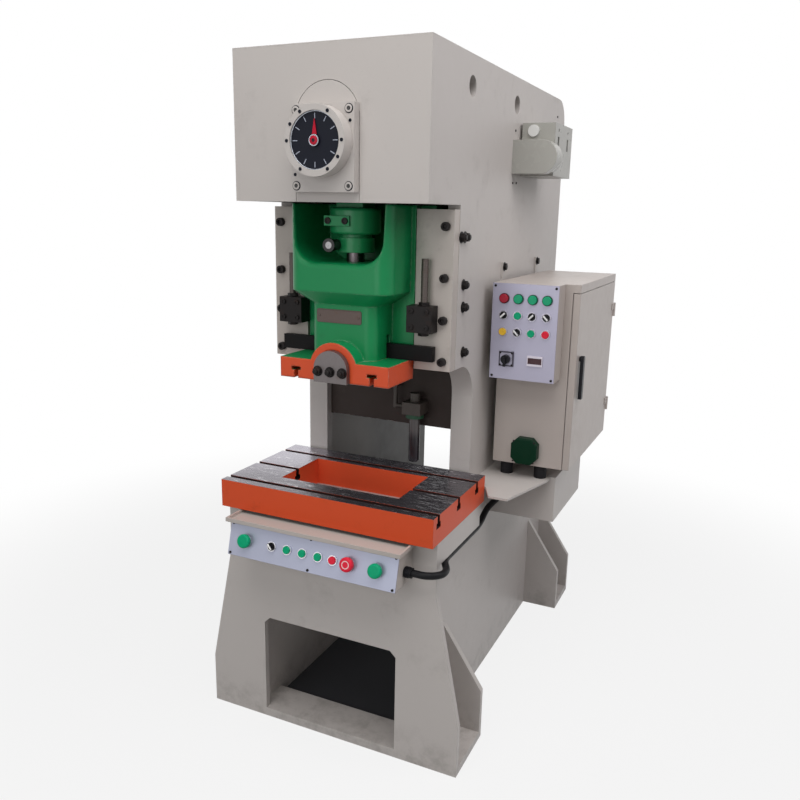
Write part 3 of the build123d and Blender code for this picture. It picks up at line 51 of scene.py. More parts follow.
# %% [markdown]
# ## Places from the frame
# A bolt sits on the face that carries it, and a paint changes where a face ends. Both are read from the
# solids' own boxes as far as they give them, so most places need no second measuring.

# %% Reading a solid's box
def least(node, letter):
    """A solid's lowest place along an axis."""
    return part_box(node)[0]["XYZ".index(letter)]


def most(node, letter):
    """A solid's highest place along an axis."""
    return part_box(node)[1]["XYZ".index(letter)]


def middle(node, letter):
    return (least(node, letter) + most(node, letter)) / 2


CAP_FACE = least("bearing_cap", "Y")
NEEDLE_FACE = least("dial_needle", "Y")
DIAL_Z = middle("dial_bezel", "Z")
PANEL_BACK = least("panel_box", "Y")
PLATE_THICK = 0.003
PANEL_FACE = PANEL_BACK - PLATE_THICK
SWITCH_LEVEL = 1.246
CONSOLE_CENTRE = Vector((0.0, -0.826, 0.6965))
CONSOLE_LEAN = math.atan2(28, 107)
print("dial centre at", round(DIAL_Z, 3), "panel face at", round(PANEL_FACE, 3))

# %% [markdown]
# ## Shader maths as plain Python
# A finish is a small graph of nodes. Dragging wires by hand is slow to read back, so one class wraps a
# socket and lets values be added and multiplied as in ordinary code, and one method adds any other node.

# %% A value that takes part in Python maths
class Value:
    """A shader number; an expression on it adds Math nodes."""

    def __init__(self, graph, socket):
        self.graph = graph
        self.socket = socket

    def math(self, operation, first, second):
        return self.graph.node("ShaderNodeMath", {"operation": operation}, {0: first, 1: second})

    def __add__(self, other):
        return self.math("ADD", self, other)

    __radd__ = __add__

    def __sub__(self, other):
        return self.math("SUBTRACT", self, other)

    def __rsub__(self, other):
        return self.math("SUBTRACT", other, self)

    def __mul__(self, other):
        return self.math("MULTIPLY", self, other)

    __rmul__ = __mul__

    def __lt__(self, other):
        return self.math("LESS_THAN", self, other)

    def __gt__(self, other):
        return self.math("GREATER_THAN", self, other)

    def __abs__(self):
        return self.math("ABSOLUTE", self, 0)

    def either(self, other):
        return self.math("MAXIMUM", self, other)


# %% A graph and its one node method
class Graph:
    """The nodes of a material or of the sky."""

    def __init__(self, tree):
        self.tree = tree

    def node(self, kind, settings, sockets, out=0):
        """Add a node: its settings first, then the values or links of its sockets."""
        node = self.tree.nodes.new(kind)
        for key, value in settings.items():
            setattr(node, key, value)
        self.fill(node, sockets)
        return Value(self, node.outputs[out])

    def fill(self, node, sockets):
        for key, value in sockets.items():
            if isinstance(value, Value):
                self.tree.links.new(value.socket, node.inputs[key])
            else:
                node.inputs[key].default_value = value


# %% A finish
class Finish(Graph):
    """A material with a Principled shader, and the patterns that finishes share."""

    def __init__(self, name):
        self.material = bpy.data.materials.new(name)
        self.material.use_nodes = True
        super().__init__(self.material.node_tree)
        self.shader = self.tree.nodes["Principled BSDF"]
        self.spot = self.node("ShaderNodeTexCoord", {}, {}, "Object")

    def set(self, **sockets):
        """Values or links of the shader's own sockets, with _ for a space."""
        self.fill(self.shader, {key.replace("_", " "): value for key, value in sockets.items()})

    def noise(self, scale, detail=3.0, rough=0.5):
        sockets = {"Vector": self.spot, "Scale": scale, "Detail": detail, "Roughness": rough}
        return self.node("ShaderNodeTexNoise", {}, sockets)

    def stretched(self, scale, stretch, detail):
        """Noise drawn out along one axis, as brushed metal is."""
        turned = self.node("ShaderNodeMapping", {}, {"Vector": self.spot, "Scale": stretch})
        return self.node("ShaderNodeTexNoise", {}, {"Vector": turned, "Scale": scale, "Detail": detail})

    def ramp(self, value, low, high):
        """Zero below one level, one above another."""
        settings = {"interpolation_type": "SMOOTHSTEP"}
        return self.node("ShaderNodeMapRange", settings, {0: value, 1: low, 2: high, 3: 0.0, 4: 1.0})

    def mix(self, share, first, second):
        """Blend two colours."""
        return self.node("ShaderNodeMix", {"data_type": "RGBA"}, {0: share, 6: first, 7: second}, 2)

    def axis(self, letter, vector=None):
        """One coordinate of a place or a direction."""
        return self.node("ShaderNodeSeparateXYZ", {}, {0: vector or self.spot}, "XYZ".index(letter))

    def plain_normal(self):
        """The surface's own direction, before any bump."""
        return self.node("ShaderNodeNewGeometry", {}, {}, "True Normal")

    def rounded_normal(self, radius):
        """The direction that the surface would have with its edges rounded."""
        return self.node("ShaderNodeBevel", {"samples": 4}, {"Radius": radius})

    def facing(self, letter):
        return self.axis(letter, self.plain_normal())

    def worn_edge(self, radius):
        """One along sharp edges, broken up as rubbed paint is; pale colours laid on it are partly painted
        highlight.
        """
        directions = {0: self.rounded_normal(radius), 1: self.plain_normal()}
        alike = self.node("ShaderNodeVectorMath", {"operation": "DOT_PRODUCT"}, directions, 1)
        return self.ramp(1 - alike, 0.03, 0.22) * self.ramp(self.noise(46.0, 6.0, 0.66), 0.44, 0.62)

    def bump(self, height, strength, distance, edge=0.0):
        """Bump the surface, and round its edges by the given radius."""
        sockets = {"Strength": strength, "Distance": distance, "Height": height}
        if edge:
            sockets["Normal"] = self.rounded_normal(edge)
        self.set(Normal=self.node("ShaderNodeBump", {}, sockets))


# %% Colours
def rgb(red, green, blue):
    """A colour as a screen shows it, 0 to 255, turned into light."""
    def light(value):
        value /= 255
        return value / 12.92 if value <= 0.04045 else ((value + 0.055) / 1.055) ** 2.4
    return (light(red), light(green), light(blue), 1.0)


def deeper(colour, share):
    """The same colour with less light."""
    return tuple(share * part for part in colour[:3]) + (1.0,)


WARM_GREY = rgb(190, 184, 180)
ORANGE = rgb(214, 82, 44)
DEEP_ORANGE = rgb(196, 70, 36)
GREEN = rgb(15, 133, 77)
SIGNAL_RED = rgb(222, 38, 62)
NEEDLE_RED = rgb(184, 26, 50)
PLATING = rgb(206, 206, 212)
print("main colours:", [round(part, 3) for colour in (WARM_GREY, ORANGE, GREEN) for part in colour[:3]])

# %% [markdown]
# ## Machine paint
# The frame, the cabinet and the console are sprayed in a warm grey. Sprayed paint is never one flat
# colour: it has a fine orange-peel surface, clouds of slightly different gloss, a little dust, pale marks
# along the edges that are partly rubbed paint and partly painted highlight, and splashes near the floor.
# One function makes them all, so the paints differ only in their values.

# %% Sprayed paint
CHALK = (0.86, 0.84, 0.80, 1.0)
GRIME = (0.12, 0.105, 0.09, 1.0)
SOOT = (0.08, 0.07, 0.06, 1.0)
MUD = (0.10, 0.085, 0.07, 1.0)
RUBBED_AND_HIGHLIGHT = (0.74, 0.72, 0.69, 1.0)
SPLASH_TOP = 0.16
RUB_WIDTH = 0.003


def sprayed(finish, colour, rough=0.42, peel=0.12, dust=0.35, edge=0.0016, haze=0.10, gloss=0.28):
    """Shade a finish as sprayed paint of that colour."""
    clouds = finish.noise(2.3, 4.0)
    grime = finish.ramp(finish.noise(9.0, 8.0, 0.68), 0.54, 0.82)
    specks = finish.ramp(finish.noise(240.0, 2.0), 0.70, 0.78)
    blots = finish.ramp(finish.noise(14.0, 6.0, 0.7), 0.40, 0.70)
    splashes = (1 - finish.ramp(finish.axis("Z"), 0.0, SPLASH_TOP)) * blots
    toned = finish.mix(clouds * haze, colour, CHALK)
    dirty = finish.mix(grime * (dust * 0.5), toned, GRIME)
    speckled = finish.mix(specks * (dust * 0.4), dirty, SOOT)
    muddy = finish.mix(splashes * dust, speckled, MUD)
    # Pale edges: partly rubbed paint, partly a painted highlight along the edges.
    worn_and_highlit = finish.mix(finish.worn_edge(RUB_WIDTH) * dust, muddy, RUBBED_AND_HIGHLIGHT)
    finish.set(Base_Color=worn_and_highlit, Specular_IOR_Level=gloss)
    finish.set(Roughness=finish.noise(31.0, 5.0) * 0.16 + grime * 0.14 + (rough - 0.08))
    finish.bump(finish.noise(420.0, 1.5), peel, 0.0006, edge)
    return finish


SHEET = {"rough": 0.36, "peel": 0.2, "dust": 0.22, "edge": 0.003}
body_paint = sprayed(Finish("body_paint"), WARM_GREY)
sheet_paint = sprayed(Finish("sheet_paint"), rgb(182, 174, 168), **SHEET)
cabinet_paint = sprayed(Finish("cabinet_paint"), rgb(174, 164, 158), **SHEET)
gib_paint = sprayed(Finish("gib_paint"), rgb(184, 175, 168), rough=0.40, dust=0.85)
# The column web and the bearing walls inside the head get a near-black brown: painted shade.
inner_painted_shade = sprayed(Finish("inner_painted_shade"), rgb(49, 39, 35), rough=0.6, dust=0.9, haze=0.0)
green_paint = sprayed(Finish("green_paint"), GREEN, rough=0.30, peel=0.2, dust=0.25, edge=0.004, haze=0.02)
socket_green = sprayed(Finish("socket_green"), rgb(0, 42, 25), rough=0.34, dust=0.1, edge=0.003,
                       haze=0.0, gloss=0.10)
motor_paint = sprayed(Finish("motor_paint"), rgb(98, 112, 124), dust=0.6, haze=0.03)
guard_paint = sprayed(Finish("guard_paint"), rgb(160, 159, 153), rough=0.26, peel=0.08, edge=0.003)
print("paints:", [item.material.name for item in (body_paint, sheet_paint, green_paint)])

# %% [markdown]
# ## Painted pieces with a second colour
# Some painted pieces are not one colour all over: the side plates are painted near-black inside as
# shade, the switch box has a white cover disc and painted shade in its screw holes, and the sockets of
# the bearing cap's bolts are painted dark as shade. The shader asks where a point lies, which is
# quicker than cutting the mesh and can be baked in the same way.

# %% Side plates, switch box and cap bolts
PLATE_INSIDE = most("bearing_walls", "X") + 0.0006
HEAD_FLOOR = least("bearing_walls", "Z") + 0.007
BAY_TOP = 1.04
SHADE_START, SHADE_FULL = 0.0, 0.25
# The switch box starts where the chain guard ends, and its disc stands in front of that.
DISC_BACK = most("chain_guard", "Y") - 0.0002
SWITCH_FACE = most("cam_switch_box", "X")
SINK_LEAST, SINK_MOST = 0.0015, 0.011
SOCKET_FLOOR = CAP_FACE - 0.0022


def plate_paint_finish():
    """Side plates: the paint outside, and painted shade on their inner faces in the head and in the rear
    bay.
    """
    finish = Finish("plate_paint")
    # Inner faces in the head, and towards the back of the rear bay, are painted near-black: painted shade.
    inward = abs(finish.axis("X")) < PLATE_INSIDE
    head = inward * (finish.axis("Z") > HEAD_FLOOR)
    bay = inward * (finish.axis("Z") < BAY_TOP) * finish.ramp(finish.axis("Y"), SHADE_START, SHADE_FULL)
    return sprayed(finish, finish.mix(head.either(bay), WARM_GREY, rgb(28, 19, 16)))


def switch_finish():
    """Cast switch box in a neutral grey, with a white cover disc and painted shade in its screw holes."""
    finish = Finish("switch_paint")
    x = finish.axis("X")
    sunk_shade = (x < SWITCH_FACE - SINK_LEAST) * (x > SWITCH_FACE - SINK_MOST) * (finish.facing("X") > 0.5)
    cast = finish.mix(finish.axis("Y") < DISC_BACK, rgb(158, 157, 151), rgb(214, 214, 212))
    return sprayed(finish, finish.mix(sunk_shade, cast, rgb(34, 33, 33)), rough=0.30, peel=0.1, edge=0.004)


def cap_paint_finish():
    """Paint for the bearing cap's bolts, with the bottoms of their sockets painted near-black as shade."""
    finish = Finish("cap_paint")
    return sprayed(finish, finish.mix(finish.axis("Y") > SOCKET_FLOOR, WARM_GREY, rgb(6, 5, 5)), dust=0.0)


plate_paint = plate_paint_finish()
switch_paint = switch_finish()
cap_paint = cap_paint_finish()
print("inside of the side plates at", round(PLATE_INSIDE, 4))

# %% [markdown]
# ## Two colours on one casting
# The slide is painted green, but the machined foot that carries the tool is picked out in orange: the
# upright faces of the flange and the flat front of the clamp boss. Where the paint turns from one colour
# to the other, the shader also asks which way the surface faces.

# %% Slide paint
SKIN = 0.0005
FLANGE_TOP = 1.2702


def slide_finish():
    """Green casting with an orange flange and a ground underside."""
    finish = Finish("slide_paint")
    upright = abs(finish.facing("Z")) < 0.4
    front = finish.axis("Y") < least("slide", "Y") + SKIN
    orange = ((finish.axis("Z") < FLANGE_TOP) * upright).either(front)
    below = finish.axis("Z") < least("slide", "Z") + SKIN
    clouds = finish.noise(3.0, 4.0)
    green = finish.mix(clouds * 0.30, GREEN, rgb(18, 118, 68))
    red = finish.mix(clouds * 0.25, ORANGE, DEEP_ORANGE)
    painted = finish.mix(orange, green, red)
    scuffs = finish.ramp(finish.noise(13.0, 9.0, 0.7), 0.58, 0.80)
    # Pale edges: partly rubbed paint, partly a painted highlight along the rims.
    edge_marks = finish.mix(finish.worn_edge(0.005) * 0.45, painted, rgb(196, 204, 192))
    scuffed = finish.mix(scuffs * 0.28, edge_marks, rgb(40, 52, 44))
    finish.set(Base_Color=finish.mix(below, scuffed, rgb(150, 150, 150)), Metallic=below)
    finish.set(Roughness=finish.noise(40.0, 5.0) * 0.16 + 0.24 + scuffs * 0.15, Specular_IOR_Level=0.28)
    finish.bump(finish.noise(55.0, 4.0), 0.16, 0.002, 0.009)
    return finish


slide_paint = slide_finish()
print("slide foot at", round(least("slide", "Z"), 4))

# %% [markdown]
# ## The bolster
# Its sides are orange like the flange. Its ground top is under preserving oil that has dried in crinkles.
# The top is painted lighter on the left and back and darker on the right front, a painted reflection of
# the bright room on one side and the dark column on the other, and the crests of the crinkles carry
# painted glints. Two stretched noises, one fine and one broad, make the crinkles.

# %% Bolster paint and oiled top
BOLSTER_TOP = most("bolster", "Z") - SKIN
BOLSTER_HALF = most("bolster", "X") - SKIN
BOLSTER_FRONT = least("bolster", "Y") + SKIN
WINDOW_Y = -0.5375
WINDOW_HALF_WIDE, WINDOW_HALF_DEEP = 0.2135, 0.119


def bolster_finish():
    """Orange sides with painted light on the window's walls, and crinkled oil on the ground top with a
    painted reflection and painted glints.
    """
    finish = Finish("bolster_paint")
    x, y, z = (finish.axis(letter) for letter in "XYZ")
    top = (z > BOLSTER_TOP) * (finish.facing("Z") > 0.5)
    hollow = (abs(x) < BOLSTER_HALF) * (z < BOLSTER_TOP) * (y > BOLSTER_FRONT)
    slots = hollow * (abs(y - WINDOW_Y) > WINDOW_HALF_DEEP).either(abs(x) > WINDOW_HALF_WIDE)
    clouds = finish.noise(3.0, 4.0)
    orange = finish.mix(clouds * 0.25, ORANGE, DEEP_ORANGE)
    grime = finish.ramp(finish.noise(16.0, 8.0, 0.7), 0.56, 0.80)
    edge_marks = finish.mix(finish.worn_edge(0.004) * 0.35, orange, rgb(88, 62, 54))
    sides = finish.mix(grime * 0.30, edge_marks, rgb(96, 44, 30))
    # The window's walls get a brighter orange than the sides: painted light on walls that sit in shade.
    window = finish.mix(hollow * 0.8, sides, rgb(246, 98, 60))
    inside = finish.mix(slots, window, rgb(52, 34, 32))
    folds = finish.stretched(14.0, (1.0, 3.2, 1.0), 6.0)
    wrinkles = finish.stretched(46.0, (1.0, 2.2, 1.0), 4.0)
    # The top's colour: painted glints on the crinkle crests, and lighter to the left and back than to the
    # right front as a painted reflection.
    glint = finish.ramp(folds * 0.6 + wrinkles * 0.4, 0.545, 0.66)
    aside = finish.ramp(x * 0.7 - y + clouds * 0.3, 0.30, 0.80)
    dull = finish.mix(aside, rgb(192, 188, 198), rgb(112, 108, 114))
    bright = finish.mix(aside, rgb(246, 245, 248), rgb(196, 193, 198))
    finish.set(Base_Color=finish.mix(top, inside, finish.mix(glint, dull, bright)), Metallic=top * 0.85)
    finish.set(Roughness=(1 - top) * (clouds * 0.1 + 0.34) + top * (wrinkles * 0.25 + 0.12))
    finish.set(Specular_IOR_Level=0.15)
    height = top * (folds + wrinkles * 0.45) + (1 - top) * finish.noise(300.0, 2.0) * 0.03
    finish.bump(height, 0.6, 0.006, 0.0015)
    return finish


bolster_paint = bolster_finish()
print("bolster top at", round(BOLSTER_TOP, 4))

# %% [markdown]
# ## Bare metals
# Ground steel shows fine straight lines, blackened bolts are nearly matt with a little brown in patches,
# and the button rings are plated. Stretched noise gives the lines, and a cloudy mask gives the browning.

# %% Steels and plating
def steel(name, colour, rough, lines, brown=0.0, metallic=1.0, gloss=0.5):
    """A bare or blackened metal with fine lines and a little brown bloom."""
    finish = Finish(name)
    grain = finish.stretched(60.0, lines, 5.0)
    bloom = finish.ramp(finish.noise(38.0, 6.0, 0.62), 0.50, 0.78)
    tone = finish.mix(grain * 0.5, colour, deeper(colour, 0.62))
    finish.set(Base_Color=finish.mix(bloom * brown, tone, rgb(92, 62, 44)), Specular_IOR_Level=gloss)
    finish.set(Roughness=grain * 0.18 + bloom * 0.15 + (rough - 0.1), Metallic=metallic)
    finish.bump(grain, 0.12, 0.0008, 0.001)
    return finish


ground_steel = steel("ground_steel", rgb(176, 176, 178), 0.34, (1.0, 14.0, 1.0), 0.10)
clamp_steel = steel("clamp_steel", rgb(112, 106, 106), 0.46, (6.0, 1.0, 1.0), 0.25, 0.8)
screw_steel = steel("screw_steel", rgb(84, 76, 72), 0.46, (1.0, 1.0, 30.0), 0.30, 0.6)
rim_steel = steel("rim_steel", rgb(176, 180, 188), 0.26, (1.0, 1.0, 3.0))
black_steel = steel("black_steel", rgb(33, 30, 30), 0.46, (2.0, 2.0, 8.0), 0.14, 0.4, gloss=0.18)
bar_steel = steel("bar_steel", rgb(15, 14, 15), 0.46, (8.0, 1.0, 1.0), 0.04, 0.2, gloss=0.12)
worn_plate = steel("worn_plate", rgb(88, 76, 72), 0.44, (14.0, 1.0, 1.0), 0.40, 0.7)
print("steels:", [item.material.name for item in (ground_steel, clamp_steel, black_steel)])

# %% Adjusting screw and button rings
WORM_X, WORM_Z = -0.038, 1.614
WORM_FRONT = -0.59
WORM_BRIGHT = 0.0105
PANEL_X = 0.33


def round_about(finish, x, z):
    """The square of the distance from a line that runs front to back."""
    aside = finish.axis("X") - x
    rise = finish.axis("Z") - z
    return aside * aside + rise * rise


def adjuster_finish():
    """Dull adjusting screw; the worm's front end is black with a bright centre."""
    finish = steel("adjuster_steel", rgb(168, 166, 166), 0.30, (6.0, 6.0, 1.0), 0.08)
    out = round_about(finish, WORM_X, WORM_Z)
    collar = (finish.axis("Y") < WORM_FRONT) * (out > WORM_BRIGHT ** 2)
    dull = finish.mix(finish.axis("Y") > WORM_FRONT, rgb(146, 144, 145), rgb(88, 82, 84))
    finish.set(Base_Color=finish.mix(collar, dull, rgb(26, 24, 24)), Metallic=1 - collar * 0.8)
    return finish


def ring_finish():
    """Button rings: plated on the console, duller on the cabinet's panel."""
    finish = steel("button_rings", PLATING, 0.24, (1.0, 1.0, 3.0))
    panel = finish.axis("X") > PANEL_X
    finish.set(Base_Color=finish.mix(panel, PLATING, rgb(172, 169, 180)), Metallic=1 - panel * 0.5)
    return finish


adjuster_steel = adjuster_finish()
button_rings = ring_finish()
print("fitted metals:", adjuster_steel.material.name, button_rings.material.name)

# %% [markdown]
# ## Plastics, rubber and plates
# Buttons are moulded and slightly scuffed. The control plates are anodised aluminium with a cool lilac
# tint against the warm grey paint. The dial is matt and almost black.

# %% Moulded plastics and rubber
def moulded(name, colour, rough=0.30, texture=0.05):
    """A moulded plastic with a faint grain and finger marks."""
    finish = Finish(name)
    marks = finish.ramp(finish.noise(85.0, 6.0, 0.6), 0.45, 0.75)
    finish.set(Base_Color=finish.mix(marks * 0.4, colour, deeper(colour, 0.72)))
    finish.set(Roughness=marks * 0.16 + rough, Specular_IOR_Level=0.14)
    finish.bump(finish.noise(900.0, 2.0), texture, 0.0003, 0.0008)
    return finish


green_button = moulded("green_button", rgb(0, 160, 112))
red_button = moulded("red_button", SIGNAL_RED)
yellow_button = moulded("yellow_button", rgb(226, 180, 56))
black_knob = moulded("black_knob", rgb(22, 22, 27), 0.36, 0.12)
white_inlay = moulded("white_inlay", rgb(236, 236, 236), 0.4)
dial_ink = moulded("dial_ink", rgb(176, 182, 196), 0.5)
black_rubber = moulded("black_rubber", rgb(30, 29, 31), 0.62, 0.3)
hose_rubber = moulded("hose_rubber", rgb(15, 15, 18), 0.42, 0.2)
print("plastics:", [item.material.name for item in (green_button, black_knob, hose_rubber)])

# %% Control plates
ROTARY_X = middle("rotary_knob", "X")
ROTARY_HALF, ROTARY_BORDER = 0.0252, 0.0205
COUNTER_X = 0.4999
COUNTER_HALF = 0.0262
READOUT_HALF_WIDE, READOUT_HALF_HIGH = 0.0232, 0.0100


def plate_finish():
    """Anodised plate with fine level lines, the rotary switch's plate and the counter on it."""
    finish = Finish("plate_lilac")
    lines = finish.stretched(38.0, (1.0, 1.0, 22.0), 5.0)
    tint = finish.mix(finish.axis("X") > PANEL_X, rgb(165, 170, 189), rgb(161, 158, 176))
    tone = finish.mix(lines * 0.35, tint, rgb(150, 149, 172))
    hazy = finish.mix(finish.noise(7.0, 4.0) * 0.2, tone, rgb(186, 184, 196))
    proud = finish.axis("Y") < PANEL_FACE - 0.0003
    rise = abs(finish.axis("Z") - SWITCH_LEVEL)
    rotary = abs(finish.axis("X") - ROTARY_X)
    counter = abs(finish.axis("X") - COUNTER_X)
    square = proud * (rotary < ROTARY_HALF)
    border = square * (rotary.either(rise) > ROTARY_BORDER)
    readout = proud * (counter < READOUT_HALF_WIDE) * (rise < READOUT_HALF_HIGH)
    surround = proud * (counter < COUNTER_HALF) * (1 - readout)
    squared = finish.mix(square, hazy, rgb(150, 147, 163))
    bordered = finish.mix(border, squared, rgb(62, 58, 70))
    framed = finish.mix(surround, bordered, rgb(196, 190, 200))
    finish.set(Base_Color=finish.mix(readout, framed, rgb(54, 24, 30)))
    finish.set(Roughness=lines * 0.14 + 0.34, Metallic=0.35)
    finish.bump(lines, 0.06, 0.0005, 0.0008)
    return finish


lilac_plate = plate_finish()
print("rotary switch at", round(ROTARY_X, 4))

# %% Dial and needle
HUB_RIM = 0.0166
HUB_PIN = 0.0052


def dial_finish():
    """Matt dark dial, slightly clouded."""
    finish = Finish("dial_dark")
    hazy = finish.noise(30.0, 5.0)
    finish.set(Base_Color=finish.mix(hazy * 0.5, rgb(10, 13, 24), rgb(20, 24, 38)))
    finish.set(Roughness=hazy * 0.2 + 0.42, Specular_IOR_Level=0.15)
    finish.bump(finish.noise(700.0, 2.0), 0.05, 0.0003)
    return finish


def needle_finish():
    """Red needle and hub button; the rim under the hub ring and the pin in the middle are dark."""
    finish = moulded("needle_red", NEEDLE_RED, 0.4)
    out = round_about(finish, 0.0, DIAL_Z)
    under = (out < HUB_RIM ** 2) * (finish.axis("Y") > NEEDLE_FACE - 0.0001)
    dark = under.either(out < HUB_PIN ** 2)
    finish.set(Base_Color=finish.mix(dark, NEEDLE_RED, rgb(30, 28, 34)))
    return finish


dial_dark = dial_finish()
needle_red = needle_finish()
print("dial finishes:", dial_dark.material.name, needle_red.material.name)

# %% Emergency stop, lamps and air filter
STOP_RING_IN, STOP_RING_OUT = 0.0095, 0.0125
FIRST_LAMP_END = 0.41
LENS_FACE = -0.2365
BOWL_TOP, BAND_TOP = 1.0255, 1.0402
LIQUID_LOW, LIQUID_TOP = 0.95, 0.99


def stop_finish():
    """Red mushroom cap with a pale ring on its crown, measured in the plane of the console face."""
    finish = moulded("stop_button", SIGNAL_RED)
    forward = finish.axis("Y") - CONSOLE_CENTRE.y
    rise = finish.axis("Z") - CONSOLE_CENTRE.z
    along = forward * math.sin(CONSOLE_LEAN) + rise * math.cos(CONSOLE_LEAN)
    aside = finish.axis("X") - middle("emergency_stop", "X")
    out = aside * aside + along * along
    ring = (out > STOP_RING_IN ** 2) * (out < STOP_RING_OUT ** 2)
    finish.set(Base_Color=finish.mix(ring * 0.75, SIGNAL_RED, rgb(240, 226, 226)))
    return finish


def lamp_finish():
    """Lamp lenses with dark rims: the first one red, the others green."""
    finish = Finish("lamp_lens")
    first = finish.axis("X") < FIRST_LAMP_END
    ribs = finish.stretched(300.0, (1.0, 0.1, 1.0), 1.0)
    lens = finish.mix(first, rgb(20, 170, 120), rgb(178, 34, 58))
    shaded = finish.mix(ribs * 0.35, lens, rgb(16, 60, 50))
    rim = finish.mix(first, rgb(14, 78, 58), rgb(82, 18, 30))
    finish.set(Base_Color=finish.mix(finish.axis("Y") < LENS_FACE, rim, shaded))
    finish.set(Roughness=ribs * 0.1 + 0.18, Specular_IOR_Level=0.14)
    finish.bump(ribs, 0.1, 0.0006, 0.001)
    return finish


def filter_finish():
    """Air filter: cast head, green band and a smoked bowl with liquid in it."""
    finish = Finish("filter_unit")
    z = finish.axis("Z")
    bowl = z < BOWL_TOP
    band = (z < BAND_TOP) * (1 - bowl)
    cloudy = finish.noise(26.0, 5.0)
    head = finish.mix(cloudy * 0.4, rgb(62, 54, 48), rgb(46, 39, 35))
    banded = finish.mix(band, head, rgb(6, 62, 36))
    smoked = finish.mix(finish.ramp(z, LIQUID_LOW, LIQUID_TOP), rgb(40, 36, 40), rgb(84, 78, 78))
    finish.set(Base_Color=finish.mix(bowl, banded, smoked), Roughness=0.5 - bowl * 0.32 + cloudy * 0.1)
    finish.bump(cloudy, 0.1, 0.001, 0.002)
    return finish


stop_button = stop_finish()
lamp_lens = lamp_finish()
filter_unit = filter_finish()
print("last finishes:", stop_button.material.name, lamp_lens.material.name, filter_unit.material.name)

# %% [markdown]
# ## Which solid wears which finish
# The table below is the paint shop's list. Every solid gets exactly one finish.

# %% Dress the solids
wardrobe = {
    body_paint: ("head_front_plate top_cover base_front_plate base_rear_plate bed_block feet dial_bezel "
                 "cabinet_support bearing_cap"),
    gib_paint: "gibs",
    plate_paint: "side_plate_left side_plate_right",
    inner_painted_shade: "column_web bearing_walls",
    sheet_paint: "console_box",
    cabinet_paint: "panel_box cabinet_body cabinet_door",
    guard_paint: "chain_guard",
    switch_paint: "cam_switch_box",
    slide_paint: "slide",
    green_paint: "connecting_rod",
    socket_green: "socket_box",
    bolster_paint: "bolster",
    ground_steel: "crankshaft flywheel motor_pulley",
    adjuster_steel: "rod_adjuster",
    clamp_steel: "shank_clamp",
    black_steel: "frame_bolts stop_blocks",
    bar_steel: "knockout_bar",
    button_rings: "button_bezels",
    dial_dark: "dial_face",
    needle_red: "dial_needle",
    lilac_plate: "control_plates",
    green_button: ("palm_button_left palm_button_right console_green_1 console_green_2 console_green_3 "
                   "panel_green_1 panel_green_2"),
    red_button: "console_red panel_red",
    stop_button: "emergency_stop",
    yellow_button: "panel_yellow",
    black_knob: ("console_selector panel_selector_1 panel_selector_2 panel_selector_3 panel_selector_4 "
                 "rotary_knob door_handle"),
    lamp_lens: "panel_lamps",
    black_rubber: "cabinet_mounts drive_belts",
    hose_rubber: "console_hose",
    motor_paint: "motor",
    filter_unit: "air_filter",
}
dressed = set()
for finish, names in wardrobe.items():
    for name in names.split():
        nodes[name].data.materials.clear()
        nodes[name].data.materials.append(finish.material)
        dressed.add(name)
print("dressed:", len(dressed), "bare:", sorted(set(nodes) - dressed))

# %% [markdown]
# ## Tools for modelling by hand
# Small pieces are built upright at the origin, shaped in edit mode, and then set where they belong. The
# helpers select faces, edges or points by a test, turn a finished piece to its seat, and hang it on its
# body.

# %% Selecting by a test
def clear_table():
    """Object mode, nothing selected."""
    if bpy.context.object and bpy.context.object.mode != "OBJECT":
        bpy.ops.object.mode_set(mode="OBJECT")
    bpy.ops.object.select_all(action="DESELECT")


def unpicked(kind):
    """The active piece's mesh with nothing selected, ready for one kind of element."""
    bpy.ops.object.mode_set(mode="EDIT")
    bpy.ops.mesh.select_mode(type=kind)
    bpy.ops.mesh.select_all(action="DESELECT")
    bpy.ops.object.mode_set(mode="OBJECT")
    return bpy.context.object.data


def pick(test):
    """Edit the active piece with the faces selected that pass a test of centre and normal."""
    for face in unpicked("FACE").polygons:
        face.select = test(face.center, face.normal)
    bpy.ops.object.mode_set(mode="EDIT")


def pick_edges(test):
    """Edit the active piece with the edges selected that pass a test of the step between their ends."""
    mesh = unpicked("EDGE")
    for edge in mesh.edges:
        first, second = (mesh.vertices[index].co for index in edge.vertices)
        edge.select = test(second - first)
    bpy.ops.object.mode_set(mode="EDIT")


def pick_points(test):
    """Edit the active piece with the points selected that pass a test of their place."""
    for point in unpicked("VERT").vertices:
        point.select = test(point.co)
    bpy.ops.object.mode_set(mode="EDIT")


def top_faces(level):
    """A test for the faces that look up at a level."""
    return lambda centre, normal: normal.z > 0.9 and abs(centre.z - level) < 1e-5


print("tests ready")

# %% Starting and shaping a piece
def cylinder(radius, height, sides=24):
    """A cylinder standing on the table, ready to be shaped."""
    clear_table()
    bpy.ops.mesh.primitive_cylinder_add(vertices=sides, radius=radius, depth=height,
                                        location=(0, 0, height / 2))
    bpy.ops.object.transform_apply(location=True, rotation=True, scale=True)
    return bpy.context.object


def brick(width, depth, height):
    """A block standing on the table, ready to be shaped."""
    clear_table()
    bpy.ops.mesh.primitive_cube_add(size=1, location=(0, 0, height / 2), scale=(width, depth, height))
    bpy.ops.object.transform_apply(location=True, rotation=True, scale=True)
    return bpy.context.object


def soften(width, segments=2):
    """Round the active piece's sharp edges with an applied bevel."""
    if bpy.context.object.mode != "OBJECT":
        bpy.ops.object.mode_set(mode="OBJECT")
    bevel = bpy.context.object.modifiers.new("soften", "BEVEL")
    bevel.width = width
    bevel.segments = segments
    bevel.limit_method = "ANGLE"
    bevel.angle_limit = math.radians(40)
    bpy.ops.object.modifier_apply(modifier=bevel.name)


